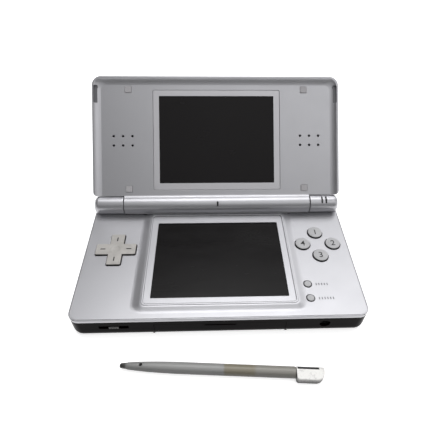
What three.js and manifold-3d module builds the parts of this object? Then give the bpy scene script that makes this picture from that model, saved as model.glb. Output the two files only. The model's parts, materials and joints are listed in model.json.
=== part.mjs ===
// Clamshell handheld game console with its stylus, in millimetres, +Z up.
// The origin is the centre of the underside. +X is to the player's right and +Y runs back to the hinge.
// The lid is modelled lying flat behind the hinge with its screen up, and its group turns it to its angle.
import * as THREE from 'three';
import { mergeVertices } from 'three/addons/utils/BufferGeometryUtils.js';
import Module from 'manifold-3d';

const wasm = await Module();
wasm.setup();

// Overall sizes
const WIDTH = 133;
const DEPTH = 73.9;
const CORNER_RADIUS = 5;
const LID_ANGLE = 135; // degrees between the base and the lid as shown
const HINGE_SETBACK = 5;
const SIDE = WIDTH / 2;
const FRONT = -DEPTH / 2;
const REAR = DEPTH / 2;
const LID_LENGTH = DEPTH - HINGE_SETBACK;

// Clearances
const FIT_GAP = 0.3; // between pieces that seat on each other
const POCKET_GAP = 0.15; // round a small piece in its pocket
const KEY_GAP = 0.28; // round a key in its hole
const OVERRUN = 2; // a cutting tool past what it cuts

// Facets
const ROUND_SIDES = 32;
const SMALL_SIDES = 16;
const CORNER_STEPS = 6;

// Heights of the base, from the underside
const PANEL_HEIGHT = 12.6;
const PANEL_THICKNESS = 1;
const BOARD_TO_SEAM = 2.5;
const BOARD_HEADROOM = 0.4; // between the board and what lies below it
const SEAM_HEIGHT = PANEL_HEIGHT - PANEL_THICKNESS;
const BOARD_BASE = SEAM_HEIGHT - BOARD_TO_SEAM;
const UNDER_BOARD = BOARD_BASE - FIT_GAP;

// Lower case
const CASE_WALL = 1.2;
const FLOOR = 1;
const EDGE_RISE = 4;
const EDGE_INSET = 2;
const EDGE_STEPS = 4;

// Control panel
const PANEL_EDGE = 0.45;
const RIM_LINE_INSET = 0.75;
const RIM_LINE_WIDTH = 0.25;
const RIM_LINE_DEPTH = 0.25;
const LIP_WALL = 0.9;
const LIP_DEPTH = 1;

// Plateau round the lower screen, set back from the sides and the front edge
const PLATEAU_RISE = 1.25;
const PLATEAU_SIDE_SETBACK = 31.1;
const PLATEAU_HALF_WIDTH = SIDE - PLATEAU_SIDE_SETBACK;
const PLATEAU_START = 6.6;
const PLATEAU_CORNER = 2;
const PLATEAU_EDGE = 0.3;
const FLANK_RUN = 5;
const FRONT_RUN = 3.6;
const FLANK_CORNER = 5;
const BEZEL_MARGIN = 0.8;
const BEZEL_HALF_WIDTH = PLATEAU_HALF_WIDTH - BEZEL_MARGIN;
const BEZEL_REAR_SETBACK = 10.9;
const BEZEL_CORNER = 1.6;
const BEZEL_STEP = 0.3;
const LEDGE = 0.5;

// Lower screen, inside its bezel
const BEZEL_SIDE = 3.15;
const BEZEL_FRONT = 3.1;
const BEZEL_REAR = 5.4;
const GLASS_MARGIN = 1.6;
const TOUCH_THICKNESS = 0.65;
const LOWER_DISPLAY_THICKNESS = 1.8;

// Hinge
const BARREL_RADIUS = 4.8;
const LID_BACK = 4.95;
const LUG_INNER_SETBACK = 16.05;
const LUG_OUTER_SETBACK = 0.5;
const LUG_END_RADIUS = 2.4;
const LUG_FOOT_SETBACK = 2.35;
const BARREL_BORE = 3.6;
const BARREL_END_WALL = 1.5;
const PIN_RADIUS = 2.5;
const PIN_IN_LUG = 10;
const PIN_IN_BARREL = 12;
const SLEEVE_BORE = 1.8;
const CLUTCH_LENGTH = 14;
const TROUGH_GAP = 0.35;
const RIM_GAP = 0.3; // between the closed lid's rim and the panel
const LID_RIM = 3.65;
const TROUGH_WALL = 1;
const HINGE_Y = REAR - HINGE_SETBACK;
const HINGE_Z = PANEL_HEIGHT + RIM_GAP + LID_RIM;
const CLOSED_HEIGHT = HINGE_Z + LID_BACK;

// Indicator lenses in the right lug
const LENS_SETBACKS = [9.6, 7.4]; // from the right side: power, charge
const LENS_WIDTH = 0.7;
const LENS_LENGTH = 4;
const LENS_TURN = 21; // degrees forward of straight up, round the hinge
const LENS_DEPTH = 1.3;
const LENS_RECESS = 0.1;

// Direction pad. Its place along the depth is a share of the depth, as is the keys'.
const PAD_FROM_SIDE = 15.2;
const PAD_DEPTH_SHARE = 0.5426;
const KEYS_DEPTH_SHARE = 0.5724;
const PAD_SPAN = 19.8;
const PAD_ARM = 6.9;
const PAD_CORNER = 0.7;
const PAD_RISE = 0.9;
const PAD_ARM_DROP = 0.7; // below the seam
const PAD_DISC_RADIUS = 8;
const PAD_DISC_DROP = 0.85; // below the seam
const PAD_DISC_THICKNESS = 0.3;
const PAD_DISH_RADIUS = 2.6;
const PAD_DISH_DEPTH = 0.35;
const PAD_TICK_LENGTH = 2.6;
const PAD_TICK_WIDTH = 0.5;
const PAD_TICK_DEPTH = 0.25;
const PAD_TICK_FROM_CENTRE = 6.4;
const PIVOT_RADIUS = 2.2;
const PIVOT_THICKNESS = 0.45;

// Face buttons and the two small buttons
const KEYS_FROM_SIDE = 15.6;
const KEY_CIRCLE_RADIUS = 7.75;
const KEY_RADIUS = 3.85;
const KEY_RISE = 0.95;
const KEY_EDGE = 0.45;
const KEY_CROWN = 0.07;
const SMALL_KEY_RADIUS = 2;
const SMALL_KEY_RISE = 0.45;
const SMALL_KEYS_FROM_SIDE = 25.2;
const START_FROM_FRONT = 17.5;
const SELECT_FROM_FRONT = 9.7;
const FLANGE_EXTRA = 0.75;
const FLANGE_DROP = 0.65; // below the seam
const FLANGE_THICKNESS = 0.35;

// Rubber membranes
const SHEET_THICKNESS = 0.2;
const DOME_RISE = 0.2;
const DOME_RADIUS = 1.5;
const PAD_SHEET_HALF = 12;
const PAD_DOME_FROM_CENTRE = 7;
const KEY_SHEET_HALF = 12.4;
const SMALL_SHEET_HALF_WIDTH = 3.8;
const SMALL_SHEET_MARGIN = 4;
const SHEET_CORNER = 2;

// Main board and what hangs below it
const BOARD_THICKNESS = 0.8;
const BOARD_SIDE_SETBACK = 4;
const BOARD_FRONT_SETBACK = 3.3;
const BOARD_REAR_SETBACK = 11;
const BOARD_CORNER = 2;
const WIRELESS_SIZE = [18, 8.4, 3.6];
const WIRELESS_FROM_SIDE = 12;
const WIRELESS_FROM_FRONT = 4.6;

// Battery and its cover in the underside
const BATTERY_WIDTH = 27;
const BATTERY_HEADROOM = 0.7;
const BATTERY_FROM_SIDE = 5.8;
const BATTERY_FROM_FRONT = 15;
const BATTERY_FROM_REAR = 20.9;
const BATTERY_CORNER = 1.5;
const BATTERY_COVER_MARGIN = 1.5;
const COVER_TAB_LENGTH = 1.2;
const COVER_TAB_WIDTH = 6;
const COVER_TAB_SPACING = 14;
const COVER_TAB_THICKNESS = 0.6;
const COVER_SCREW_HEAD = 1.7;
const COVER_SCREW_DEPTH = 0.5;
const COVER_SCREW_FROM_END = 3.2;

// Cartridge bay in the front
const CART_SIDE_SETBACK = 37;
const CART_HALF_WIDTH = SIDE - CART_SIDE_SETBACK;
const CART_BASE = 1.3;
const CART_DEPTH = 24.9;
const CART_RIB = 1;
const CONNECTOR_SIDE_GAP = 2.5;
const CONNECTOR_HALF_WIDTH = CART_HALF_WIDTH - CONNECTOR_SIDE_GAP;
const CONNECTOR_DEPTH = 4.4;
const CONNECTOR_SLOT_HEIGHT = 1.6;
const CONNECTOR_SLOT_DEPTH = 3;
const COVER_INSERT_DEPTH = 8;
const COVER_INSERT_WALL = 1;
const COVER_INSERT_SETBACK = 0.7;
const COVER_PULL_WIDTH = 14;
const COVER_PULL_HEIGHT = 0.9;
const COVER_PULL_DEPTH = 0.5;

// Card socket in the rear
const CARD_HALF_WIDTH = 17;
const CARD_BASE = 3.5;
const CARD_TO_CHANNEL = 0.15;
const CARD_SIDE_WALL = 1;
const CARD_PLATE = 0.6;

// Stylus and its channel from the right side
const STYLUS_SHORTER = 47; // than the width
const STYLUS_LENGTH = WIDTH - STYLUS_SHORTER;
const STYLUS_CAP_LENGTH = 11.7;
const STYLUS_CAP_WIDTH = 6.4;
const STYLUS_CAP_CORNER = 3.6;
const STYLUS_CAP_SMALL_CORNER = 0.8;
const STYLUS_CAP_GROOVE = 0.35;
const STYLUS_TIP_SHARE = 0.38; // of the shaft's radius
const STYLUS_TAPER_LENGTH = 24;
const STYLUS_PIN_HOLE_RADIUS = 0.5;
const STYLUS_PIN_HOLE_FROM_TIP = 9.1;
const STYLUS_IN_FRONT = 18.25; // its middle ahead of the front edge
const STYLUS_TURN = -3.79; // degrees about Z as it lies
const CHANNEL_CLEARANCE = 0.35;
const CHANNEL_WALL = 0.8;
const CHANNEL_HEADROOM = 0.6;
const CHANNEL_TO_CONNECTOR = 0.75;

// Shoulder buttons at the rear corners
const SHOULDER_INNER_SETBACK = 15.3;
const SHOULDER_SIDE_SETBACK = 5.6;
const SHOULDER_BASE = 3;
const SHOULDER_DROP = 1.6; // below the seam
const SHOULDER_TOP = SEAM_HEIGHT - SHOULDER_DROP;
const SHOULDER_WALL = 2.2;
const SHOULDER_TRAVEL_GAP = 1;
const SHOULDER_PIN_SETBACK = 13.3;
const SHOULDER_PIN_FROM_REAR = 4.2;
const SHOULDER_PIN_RADIUS = 0.75;
const SHOULDER_KNUCKLE_RADIUS = 2.6;
const SHOULDER_KNUCKLE_HEIGHT = 2;
const SHOULDER_SPRING_WALL = 0.5;
const SHOULDER_BOSS_RADIUS = 1.8;

// Sliders
const SLIDER_DROP = 2.1; // below the board's underside
const SLIDER_KNOB_LENGTH = 4.4;
const SLIDER_KNOB_HEIGHT = 1.6;
const SLIDER_PROUD = 0.3;
const SLIDER_PLATE_THICKNESS = 1.4;
const SLIDER_PLATE_RISE = 0.8;
const SLIDER_RIDGES = 3;
const SLIDER_RIDGE_DEPTH = 0.25;
const POWER_PLACE_SHARE = 0.415; // from the stylus mouth towards the shoulder button
const POWER_TRAVEL = 2.5;
const POWER_PLATE_LENGTH = 10.8;
const VOLUME_FROM_SIDE = 19.5;
const VOLUME_TRAVEL = 8;
const VOLUME_PLATE_LENGTH = 21;

// Sockets
const JACK_FROM_SIDE = 19.5;
const JACK_SIZE = [6.4, 11, 4.4];
const JACK_BORE = 1.8;
const CHARGE_FROM_CARD = 8;
const CHARGE_SIZE = [9, 6.4, 3.6];
const CHARGE_SLOT = [7, 4.4, 2.2];

// Case screws and their bosses
const SCREW_FROM_SIDE = 7;
const SCREW_FROM_FRONT = 7;
const SCREW_FROM_REAR = 15;
const SCREW_HEAD_RADIUS = 1.9;
const SCREW_HEAD_HEIGHT = 1.1;
const SCREW_SHANK_RADIUS = 1;
const SCREW_END_DROP = 1.6; // below the seam
const SCREW_RECESS = 4.4;
const BOSS_WALL = 0.8;
const BOSS_WEB = 1.5;

// Lid, measured from the hinge axis along the lid and up from it
const LID_NEAR = 4.55;
const LID_FACE = 2.35;
const LID_SEAM = 0.9;
const LID_WALL = 1.2;
const LID_NEAR_CORNER = 2.4;
const LID_EDGE_RISE = 2.2;
const LID_EDGE_INSET = 1.9;
const LID_RIM_WIDTH = 1.1;
const LID_RIM_EDGE = 0.4;
const LID_SLOPE = 3.5;
const LID_RECESS_CORNER = 3;
const LID_LIP_DEPTH = 1.4;
const LID_LIP_WALL = 0.8;
const RAMP_END = 5.3;
const RAMP_TOUCH_ANGLE = 43; // degrees round the barrel where the ramp leaves it
const NOTCH_FROM_END = 5;
const NOTCH_LENGTH = 9.2;
const NOTCH_FROM_SIDE = 0.9;
const NOTCH_WIDTH = 1.9;
const NOTCH_DEPTH = 1;

// Upper screen and the lens plate over it, set back from the lid's edges
const LENS_SIDE_SETBACK = 32.3;
const LENS_START = 7.9;
const LENS_END_SETBACK = 7.3;
const LENS_PLATE_CORNER = 0.8;
const LENS_PLATE_THICKNESS = 0.9;
const LENS_LEDGE_WIDTH = 1.9;
const LENS_LEDGE_THICKNESS = 0.8;
const LENS_BORDER = 3.15;
const LENS_NEAR_BORDER = 3.55;
const LENS_FAR_BORDER = 3.05;
const UPPER_DISPLAY_MARGIN = 2.2;

// Speakers, microphone and bumpers
const SPEAKER_FROM_SIDE = 16;
const SPEAKER_CENTRE = LID_LENGTH / 2;
const SPEAKER_RADIUS = 8.5;
const SPEAKER_THICKNESS = 3;
const SPEAKER_RIM = 1;
const SPEAKER_HOLE_RADIUS = 0.65;
const SPEAKER_HOLE_PITCH = 5;
const SPEAKER_HOLE_COLUMNS = 3;
const SPEAKER_HOLE_ROWS = 2;
const MIC_SLOT_WIDTH = 0.8;
const MIC_SLOT_LENGTH = 2.7;
const MIC_RADIUS = 2;
const MIC_THICKNESS = 1.5;
const BUMPER_SIZE = 3.4;
const BUMPER_FROM_SIDE = 19;
const BUMPER_NEAR = 8.5;
const BUMPER_FROM_END = 6.9;
const BUMPER_ROWS = [BUMPER_NEAR, LID_LENGTH - BUMPER_FROM_END];
const BUMPER_POCKET_DEPTH = 0.8;
const BUMPER_PROUD = 0.3;

// Rolled display flex inside the barrel
const FLEX_WIDTH = 14;
const FLEX_FROM_SIDE = 32.5;
const FLEX_THICKNESS = 0.25;
const FLEX_PITCH = 0.75;
const FLEX_TURNS = 2.5;
const FLEX_STEPS_PER_TURN = 16;

// Materials, as colour, roughness and metalness
const FINISHES = {
  silver: [0xb9b9be, 0.32, 0.55],
  darkCase: [0x221d1c, 0.25, 0],
  keys: [0xa7a5a3, 0.4, 0],
  padKey: [0x9d9892, 0.5, 0],
  screen: [0x1e1c1e, 0.12, 0],
  lens: [0xa9a9ae, 0.15, 0],
  clear: [0xd8dcd8, 0.1, 0],
  board: [0x2f5d3a, 0.6, 0],
  steel: [0xb4b6b8, 0.35, 1],
  rubber: [0x8e8e90, 0.85, 0],
  black: [0x1a1a1b, 0.5, 0],
  battery: [0x55585c, 0.6, 0],
  stylus: [0x98948f, 0.45, 0],
  stylusCap: [0xefeeea, 0.45, 0],
  copper: [0xa8763e, 0.5, 0.2],
};

// A closed geometry as a solid for joining and cutting
function toSolid(geometry) {
  const bare = geometry.clone();
  bare.deleteAttribute('normal');
  bare.deleteAttribute('uv');
  const merged = mergeVertices(bare);
  const vertProperties = Float32Array.from(merged.attributes.position.array);
  const triVerts = Uint32Array.from(merged.index.array);
  return new wasm.Manifold(new wasm.Mesh({ numProp: 3, vertProperties, triVerts }));
}

function toGeometry(solid) {
  const mesh = solid.getMesh();
  const geometry = new THREE.BufferGeometry();
  geometry.setAttribute('position', new THREE.BufferAttribute(Float32Array.from(mesh.vertProperties), 3));
  geometry.setIndex(new THREE.BufferAttribute(Uint32Array.from(mesh.triVerts), 1));
  return geometry;
}

function join(...solids) {
  return solids.reduce((sum, solid) => sum.add(solid));
}

function cut(solid, ...tools) {
  return tools.reduce((rest, tool) => rest.subtract(tool), solid);
}

function common(first, second) {
  return first.intersect(second);
}

// A block between two corners
function block(x, y, z) {
  const geometry = new THREE.BoxGeometry(x[1] - x[0], y[1] - y[0], z[1] - z[0]);
  geometry.translate((x[0] + x[1]) / 2, (y[0] + y[1]) / 2, (z[0] + z[1]) / 2);
  return toSolid(geometry);
}

// A span of a given size about its middle
function about(middle, size) {
  return [middle - size / 2, middle + size / 2];
}

// Round bars along Z, X and Y
function barZ(radius, x, y, z, sides = SMALL_SIDES) {
  const geometry = new THREE.CylinderGeometry(radius, radius, z[1] - z[0], sides);
  geometry.rotateX(Math.PI / 2);
  geometry.translate(x, y, (z[0] + z[1]) / 2);
  return toSolid(geometry);
}

function barX(radius, x, y, z, sides = ROUND_SIDES) {
  const geometry = new THREE.CylinderGeometry(radius, radius, x[1] - x[0], sides);
  geometry.rotateZ(Math.PI / 2);
  geometry.translate((x[0] + x[1]) / 2, y, z);
  return toSolid(geometry);
}

function barY(radius, x, y, z, sides = SMALL_SIDES) {
  const geometry = new THREE.CylinderGeometry(radius, radius, y[1] - y[0], sides);
  geometry.translate(x, (y[0] + y[1]) / 2, z);
  return toSolid(geometry);
}

// A turned piece on a vertical axis, from [radius, height] points
function turned(points, x, y, sides = SMALL_SIDES) {
  const geometry = new THREE.LatheGeometry(points.map(([r, h]) => new THREE.Vector2(r, h)), sides);
  geometry.rotateX(Math.PI / 2);
  geometry.translate(x, y, 0);
  return toSolid(geometry);
}

// The corners of a rounded rectangle at one height. near is the low-Y pair of corners.
function ringPoints({ x, y, z, radius, near = radius }) {
  const corners = [[x[0], y[0], near], [x[1], y[0], near], [x[1], y[1], radius], [x[0], y[1], radius]];
  return corners.flatMap(([cornerX, cornerY, r], corner) => {
    const centreX = cornerX + (cornerX === x[0] ? r : -r);
    const centreY = cornerY + (cornerY === y[0] ? r : -r);
    return Array.from({ length: CORNER_STEPS + 1 }, (_, step) => {
      const angle = Math.PI + (corner + step / CORNER_STEPS) * (Math.PI / 2);
      return [centreX + r * Math.cos(angle), centreY + r * Math.sin(angle), z];
    });
  });
}

// A closed solid through rounded rectangles at rising heights
function loft(rings) {
  const count = 4 * (CORNER_STEPS + 1);
  const points = rings.flatMap(ringPoints);
  const faces = [];
  for (let level = 0; level < rings.length - 1; level += 1) {
    for (let i = 0; i < count; i += 1) {
      const a = level * count + i;
      const b = level * count + ((i + 1) % count);
      faces.push(a, b, b + count, a, b + count, a + count);
    }
  }
  const top = (rings.length - 1) * count;
  for (let i = 1; i < count - 1; i += 1) {
    faces.push(0, i + 1, i, top, top + i, top + i + 1);
  }
  const geometry = new THREE.BufferGeometry();
  geometry.setAttribute('position', new THREE.Float32BufferAttribute(points.flat(), 3));
  geometry.setIndex(faces);
  return toSolid(geometry);
}

// A plate with round corners
function plate(x, y, z, radius) {
  return loft([{ x, y, z: z[0], radius }, { x, y, z: z[1], radius }]);
}

// The case outline, moved inwards by an inset
function caseRing(z, inset) {
  return {
    x: [-SIDE + inset, SIDE - inset],
    y: [FRONT + inset, REAR - inset],
    z,
    radius: Math.max(CORNER_RADIUS - inset, CORNER_RADIUS / 4),
  };
}

// Rings of a bottom edge that rounds in to an ellipse
function roundedFoot(base, top, inset) {
  return Array.from({ length: EDGE_STEPS + 1 }, (_, step) => {
    const angle = (1 - step / EDGE_STEPS) * (Math.PI / 2);
    const height = base + (top - base) * (1 - Math.sin(angle));
    return caseRing(height, inset + EDGE_INSET * (1 - Math.cos(angle)));
  });
}

// The outside of the base, inset all round
function caseBody(inset, base, top) {
  return loft([...roundedFoot(base, EDGE_RISE, inset), caseRing(top, inset)]);
}

// Places shared by several pieces
const LUG_INNER = SIDE - LUG_INNER_SETBACK;
const LUG_OUTER = SIDE - LUG_OUTER_SETBACK;
const BARREL_HALF = LUG_INNER - FIT_GAP;
const TROUGH_RADIUS = LID_BACK + TROUGH_GAP;
const TROUGH_FLOOR = HINGE_Z - TROUGH_RADIUS - TROUGH_WALL;
const PIN_BORE = PIN_RADIUS + FIT_GAP;
const SHEET_BASE = BOARD_BASE + BOARD_THICKNESS;
const PAD_TOP = PANEL_HEIGHT + PAD_RISE;
const PAD_DISC_BASE = SEAM_HEIGHT - PAD_DISC_DROP;
const FLANGE_BASE = SEAM_HEIGHT - FLANGE_DROP;
const PAD_CENTRE = [-SIDE + PAD_FROM_SIDE, FRONT + DEPTH * PAD_DEPTH_SHARE];
const KEYS_CENTRE = [SIDE - KEYS_FROM_SIDE, FRONT + DEPTH * KEYS_DEPTH_SHARE];
const SMALL_KEYS_X = SIDE - SMALL_KEYS_FROM_SIDE;
const KEY_PLACES = {
  upper: [KEYS_CENTRE[0], KEYS_CENTRE[1] + KEY_CIRCLE_RADIUS],
  right: [KEYS_CENTRE[0] + KEY_CIRCLE_RADIUS, KEYS_CENTRE[1]],
  lower: [KEYS_CENTRE[0], KEYS_CENTRE[1] - KEY_CIRCLE_RADIUS],
  left: [KEYS_CENTRE[0] - KEY_CIRCLE_RADIUS, KEYS_CENTRE[1]],
};
const SMALL_KEY_PLACES = {
  start: [SMALL_KEYS_X, FRONT + START_FROM_FRONT],
  select: [SMALL_KEYS_X, FRONT + SELECT_FROM_FRONT],
};
const SCREW_PLACES = {
  front_left: [-SIDE + SCREW_FROM_SIDE, FRONT + SCREW_FROM_FRONT],
  front_right: [SIDE - SCREW_FROM_SIDE, FRONT + SCREW_FROM_FRONT],
  rear_left: [-SIDE + SCREW_FROM_SIDE, REAR - SCREW_FROM_REAR],
  rear_right: [SIDE - SCREW_FROM_SIDE, REAR - SCREW_FROM_REAR],
};
const BATTERY_X = [-SIDE + BATTERY_FROM_SIDE, -SIDE + BATTERY_FROM_SIDE + BATTERY_WIDTH];
const BATTERY_Y = [FRONT + BATTERY_FROM_FRONT, REAR - BATTERY_FROM_REAR];
const COVER_X = [BATTERY_X[0] - BATTERY_COVER_MARGIN, BATTERY_X[1] + BATTERY_COVER_MARGIN];
const COVER_Y = [BATTERY_Y[0] - BATTERY_COVER_MARGIN, BATTERY_Y[1] + BATTERY_COVER_MARGIN];
const CART_Z = [CART_BASE, BOARD_BASE - BOARD_HEADROOM];
const CARD_Z = [CARD_BASE, BOARD_BASE - BOARD_HEADROOM - CARD_PLATE];
const CHANNEL_BORE = (BOARD_BASE - CHANNEL_HEADROOM - FLOOR - FIT_GAP) / 2 - CHANNEL_WALL;
const STYLUS_RADIUS = CHANNEL_BORE - CHANNEL_CLEARANCE; // the stylus fits the height inside the base
const CONNECTOR_FRONT = FRONT + CART_DEPTH + FIT_GAP;
const CHANNEL_Y = CONNECTOR_FRONT + CONNECTOR_DEPTH + CHANNEL_TO_CONNECTOR + CHANNEL_WALL + CHANNEL_BORE;
const CARD_INNER = CHANNEL_Y + CHANNEL_BORE + CHANNEL_WALL + CARD_TO_CHANNEL + CARD_SIDE_WALL;
const CHANNEL_Z = FLOOR + FIT_GAP + CHANNEL_WALL + CHANNEL_BORE;
const CHANNEL_SPAN_Z = [CHANNEL_Z - CHANNEL_BORE, CHANNEL_Z + CHANNEL_BORE];
const MOUTH_Y = [CHANNEL_Y + STYLUS_RADIUS - STYLUS_CAP_WIDTH - CHANNEL_CLEARANCE, CHANNEL_Y + CHANNEL_BORE];
const MOUTH_INNER = SIDE - STYLUS_CAP_LENGTH - CHANNEL_CLEARANCE;
const SHOULDER_START = REAR - SHOULDER_SIDE_SETBACK - SHOULDER_TRAVEL_GAP;
const POWER_START = MOUTH_Y[1] + CHANNEL_WALL;
const POWER_Y = POWER_START + (SHOULDER_START - POWER_START) * POWER_PLACE_SHARE;
const VOLUME_X = -SIDE + VOLUME_FROM_SIDE;
const JACK_X = SIDE - JACK_FROM_SIDE;
const JACK_Z = UNDER_BOARD - JACK_SIZE[2] / 2;
const CHARGE_X = CARD_HALF_WIDTH + CARD_SIDE_WALL + CHARGE_FROM_CARD + CHARGE_SIZE[0] / 2;
const CHARGE_Z = UNDER_BOARD - CHARGE_SIZE[2] / 2;
const SHOULDER_X = SIDE - SHOULDER_PIN_SETBACK;
const SHOULDER_Y = REAR - SHOULDER_PIN_FROM_REAR;

// Half widths and heights of the sliders' knobs
const KNOB_Z = about(BOARD_BASE - SLIDER_DROP, SLIDER_KNOB_HEIGHT);
const SLIDER_SLOT_Z = [KNOB_Z[0] - FIT_GAP, KNOB_Z[1] + FIT_GAP];
const SLIDER_PLATE_Z = [KNOB_Z[0] - SLIDER_PLATE_RISE, KNOB_Z[1] + SLIDER_PLATE_RISE];

const group = new THREE.Group();
const lid = new THREE.Group();
lid.position.set(0, HINGE_Y, HINGE_Z);
lid.rotation.x = THREE.MathUtils.degToRad(180 - LID_ANGLE);
const stylus = new THREE.Group();
stylus.position.set(0, FRONT - STYLUS_IN_FRONT, STYLUS_RADIUS);
stylus.rotation.z = THREE.MathUtils.degToRad(STYLUS_TURN);
group.add(lid, stylus);

function addPiece(name, solid, finish, parent = group) {
  const [color, roughness, metalness] = FINISHES[finish];
  const material = new THREE.MeshStandardMaterial({ color, roughness, metalness });
  const mesh = new THREE.Mesh(toGeometry(solid), material);
  mesh.name = name;
  parent.add(mesh);
}

// The shoulder button's block on the right side, grown by a gap
function shoulderBlock(gap, travel) {
  const inner = SIDE - SHOULDER_INNER_SETBACK;
  const start = REAR - SHOULDER_SIDE_SETBACK;
  return block(
    [inner - gap, SIDE + OVERRUN],
    [start - travel, REAR + OVERRUN],
    [SHOULDER_BASE - gap, SHOULDER_TOP + gap],
  );
}

function mirrored(solid) {
  return solid.mirror([1, 0, 0]);
}

// Bosses, ribs and bearings inside the lower case
function lowerCaseBosses() {
  const bossTop = SCREW_RECESS + BOSS_WEB;
  const bosses = Object.values(SCREW_PLACES).map(([x, y]) =>
    barZ(SCREW_HEAD_RADIUS + FIT_GAP + BOSS_WALL, x, y, [FLOOR / 2, bossTop]));
  const rib = block(
    [CART_HALF_WIDTH, CART_HALF_WIDTH + CART_RIB],
    [FRONT + CASE_WALL / 2, FRONT + CART_DEPTH],
    [FLOOR / 2, CART_Z[1]],
  );
  const bearing = barZ(SHOULDER_BOSS_RADIUS, SHOULDER_X, SHOULDER_Y, [FLOOR / 2, SHOULDER_BASE - FIT_GAP]);
  return join(...bosses, rib, mirrored(rib), bearing, mirrored(bearing));
}

function screwHoles() {
  return join(...Object.values(SCREW_PLACES).map(([x, y]) => join(
    barZ(SCREW_HEAD_RADIUS + FIT_GAP, x, y, [-OVERRUN, SCREW_RECESS]),
    barZ(SCREW_SHANK_RADIUS + FIT_GAP, x, y, [SCREW_RECESS - FLOOR, SEAM_HEIGHT]),
  )));
}

function shoulderPinHoles(low) {
  const hole = barZ(SHOULDER_PIN_RADIUS + FIT_GAP, SHOULDER_X, SHOULDER_Y, [low, SEAM_HEIGHT]);
  return join(hole, mirrored(hole));
}

// The pocket in the floor for the battery cover, with a slot for each tab
function batteryOpening(gap) {
  const opening = plate(
    [COVER_X[0] - gap, COVER_X[1] + gap],
    [COVER_Y[0] - gap, COVER_Y[1] + gap],
    [-OVERRUN, FLOOR + OVERRUN],
    BATTERY_CORNER,
  );
  return opening;
}

function wallOpenings() {
  const outsideFront = [FRONT - OVERRUN, FRONT + EDGE_INSET + CASE_WALL];
  const outsideRear = [REAR - EDGE_INSET - CASE_WALL, REAR + OVERRUN];
  const outsideRight = [SIDE - EDGE_INSET - CASE_WALL, SIDE + OVERRUN];
  const knobReach = SLIDER_KNOB_LENGTH + 2 * FIT_GAP;
  return join(
    block([-CART_HALF_WIDTH, CART_HALF_WIDTH], outsideFront, CART_Z),
    block([-CARD_HALF_WIDTH, CARD_HALF_WIDTH], outsideRear, CARD_Z),
    block(outsideRight, MOUTH_Y, CHANNEL_SPAN_Z),
    block(about(VOLUME_X, knobReach + VOLUME_TRAVEL), outsideFront, SLIDER_SLOT_Z),
    block(outsideRight, about(POWER_Y + POWER_TRAVEL / 2, knobReach + POWER_TRAVEL), SLIDER_SLOT_Z),
    barY(JACK_BORE + 2 * FIT_GAP, JACK_X, outsideFront, JACK_Z),
    block(about(CHARGE_X, CHARGE_SLOT[0] + FIT_GAP), outsideRear, about(CHARGE_Z, CHARGE_SLOT[2] + FIT_GAP)),
  );
}

function makeLowerCase() {
  const shell = cut(caseBody(0, 0, SEAM_HEIGHT), caseBody(CASE_WALL, FLOOR, SEAM_HEIGHT + OVERRUN));
  const shoulder = shoulderBlock(FIT_GAP, SHOULDER_TRAVEL_GAP);
  const behindBarrel = block(
    [-LUG_INNER, LUG_INNER],
    [REAR - CASE_WALL - OVERRUN, REAR + OVERRUN],
    [TROUGH_FLOOR, SEAM_HEIGHT + OVERRUN],
  );
  const solid = cut(
    join(shell, lowerCaseBosses()),
    screwHoles(),
    wallOpenings(),
    batteryOpening(FIT_GAP),
    common(shoulder, join(shell, behindBarrel)),
    common(mirrored(shoulder), join(shell, behindBarrel)),
    behindBarrel,
    shoulderPinHoles(FLOOR + FIT_GAP),
  );
  addPiece('lower_case', solid, 'darkCase');
}

// The plateau rises from the panel in a smooth shoulder and runs back into the trough
function plateauRings() {
  const shares = [[0, 1], [0.12, 0.72], [0.5, 0.42], [0.88, 0.16], [1, 0]]; // height and run-out shares
  const rear = HINGE_Y;
  const rings = shares.map(([up, out]) => ({
    x: [-PLATEAU_HALF_WIDTH - FLANK_RUN * out, PLATEAU_HALF_WIDTH + FLANK_RUN * out],
    y: [FRONT + PLATEAU_START - FRONT_RUN * out, rear],
    z: PANEL_HEIGHT + (PLATEAU_RISE - PLATEAU_EDGE) * up,
    radius: PLATEAU_CORNER + (FLANK_CORNER - PLATEAU_CORNER) * out,
  }));
  const top = rings[rings.length - 1];
  rings.push({
    x: [top.x[0] + PLATEAU_EDGE, top.x[1] - PLATEAU_EDGE],
    y: [top.y[0] + PLATEAU_EDGE, top.y[1]],
    z: PANEL_HEIGHT + PLATEAU_RISE,
    radius: PLATEAU_CORNER,
  });
  return [{ ...rings[0], z: SEAM_HEIGHT + FIT_GAP }, ...rings];
}

function panelPlate() {
  return loft([
    caseRing(SEAM_HEIGHT, 0),
    caseRing(PANEL_HEIGHT - PANEL_EDGE, 0),
    caseRing(PANEL_HEIGHT - PANEL_EDGE / 4, PANEL_EDGE / 3),
    caseRing(PANEL_HEIGHT, PANEL_EDGE),
  ]);
}

// The locating lip that drops inside the lower case
function panelLip() {
  const outer = CASE_WALL + FIT_GAP;
  const low = SEAM_HEIGHT - LIP_DEPTH;
  const ring = cut(
    loft([caseRing(low, outer), caseRing(SEAM_HEIGHT + FIT_GAP, outer)]),
    loft([caseRing(low - OVERRUN, outer + LIP_WALL), caseRing(PANEL_HEIGHT, outer + LIP_WALL)]),
  );
  return cut(ring, block([-SIDE, SIDE], [SHOULDER_START, REAR], [low - OVERRUN, SEAM_HEIGHT]));
}

function rimLine() {
  const inner = RIM_LINE_INSET + RIM_LINE_WIDTH;
  const depth = PANEL_HEIGHT - RIM_LINE_DEPTH;
  const line = cut(
    loft([caseRing(depth, RIM_LINE_INSET), caseRing(PANEL_HEIGHT + OVERRUN, RIM_LINE_INSET)]),
    loft([caseRing(depth - OVERRUN, inner), caseRing(PANEL_HEIGHT + 2 * OVERRUN, inner)]),
  );
  return cut(line, block([-SIDE, SIDE], [HINGE_Y - BARREL_RADIUS, REAR], [0, CLOSED_HEIGHT]));
}

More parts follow.
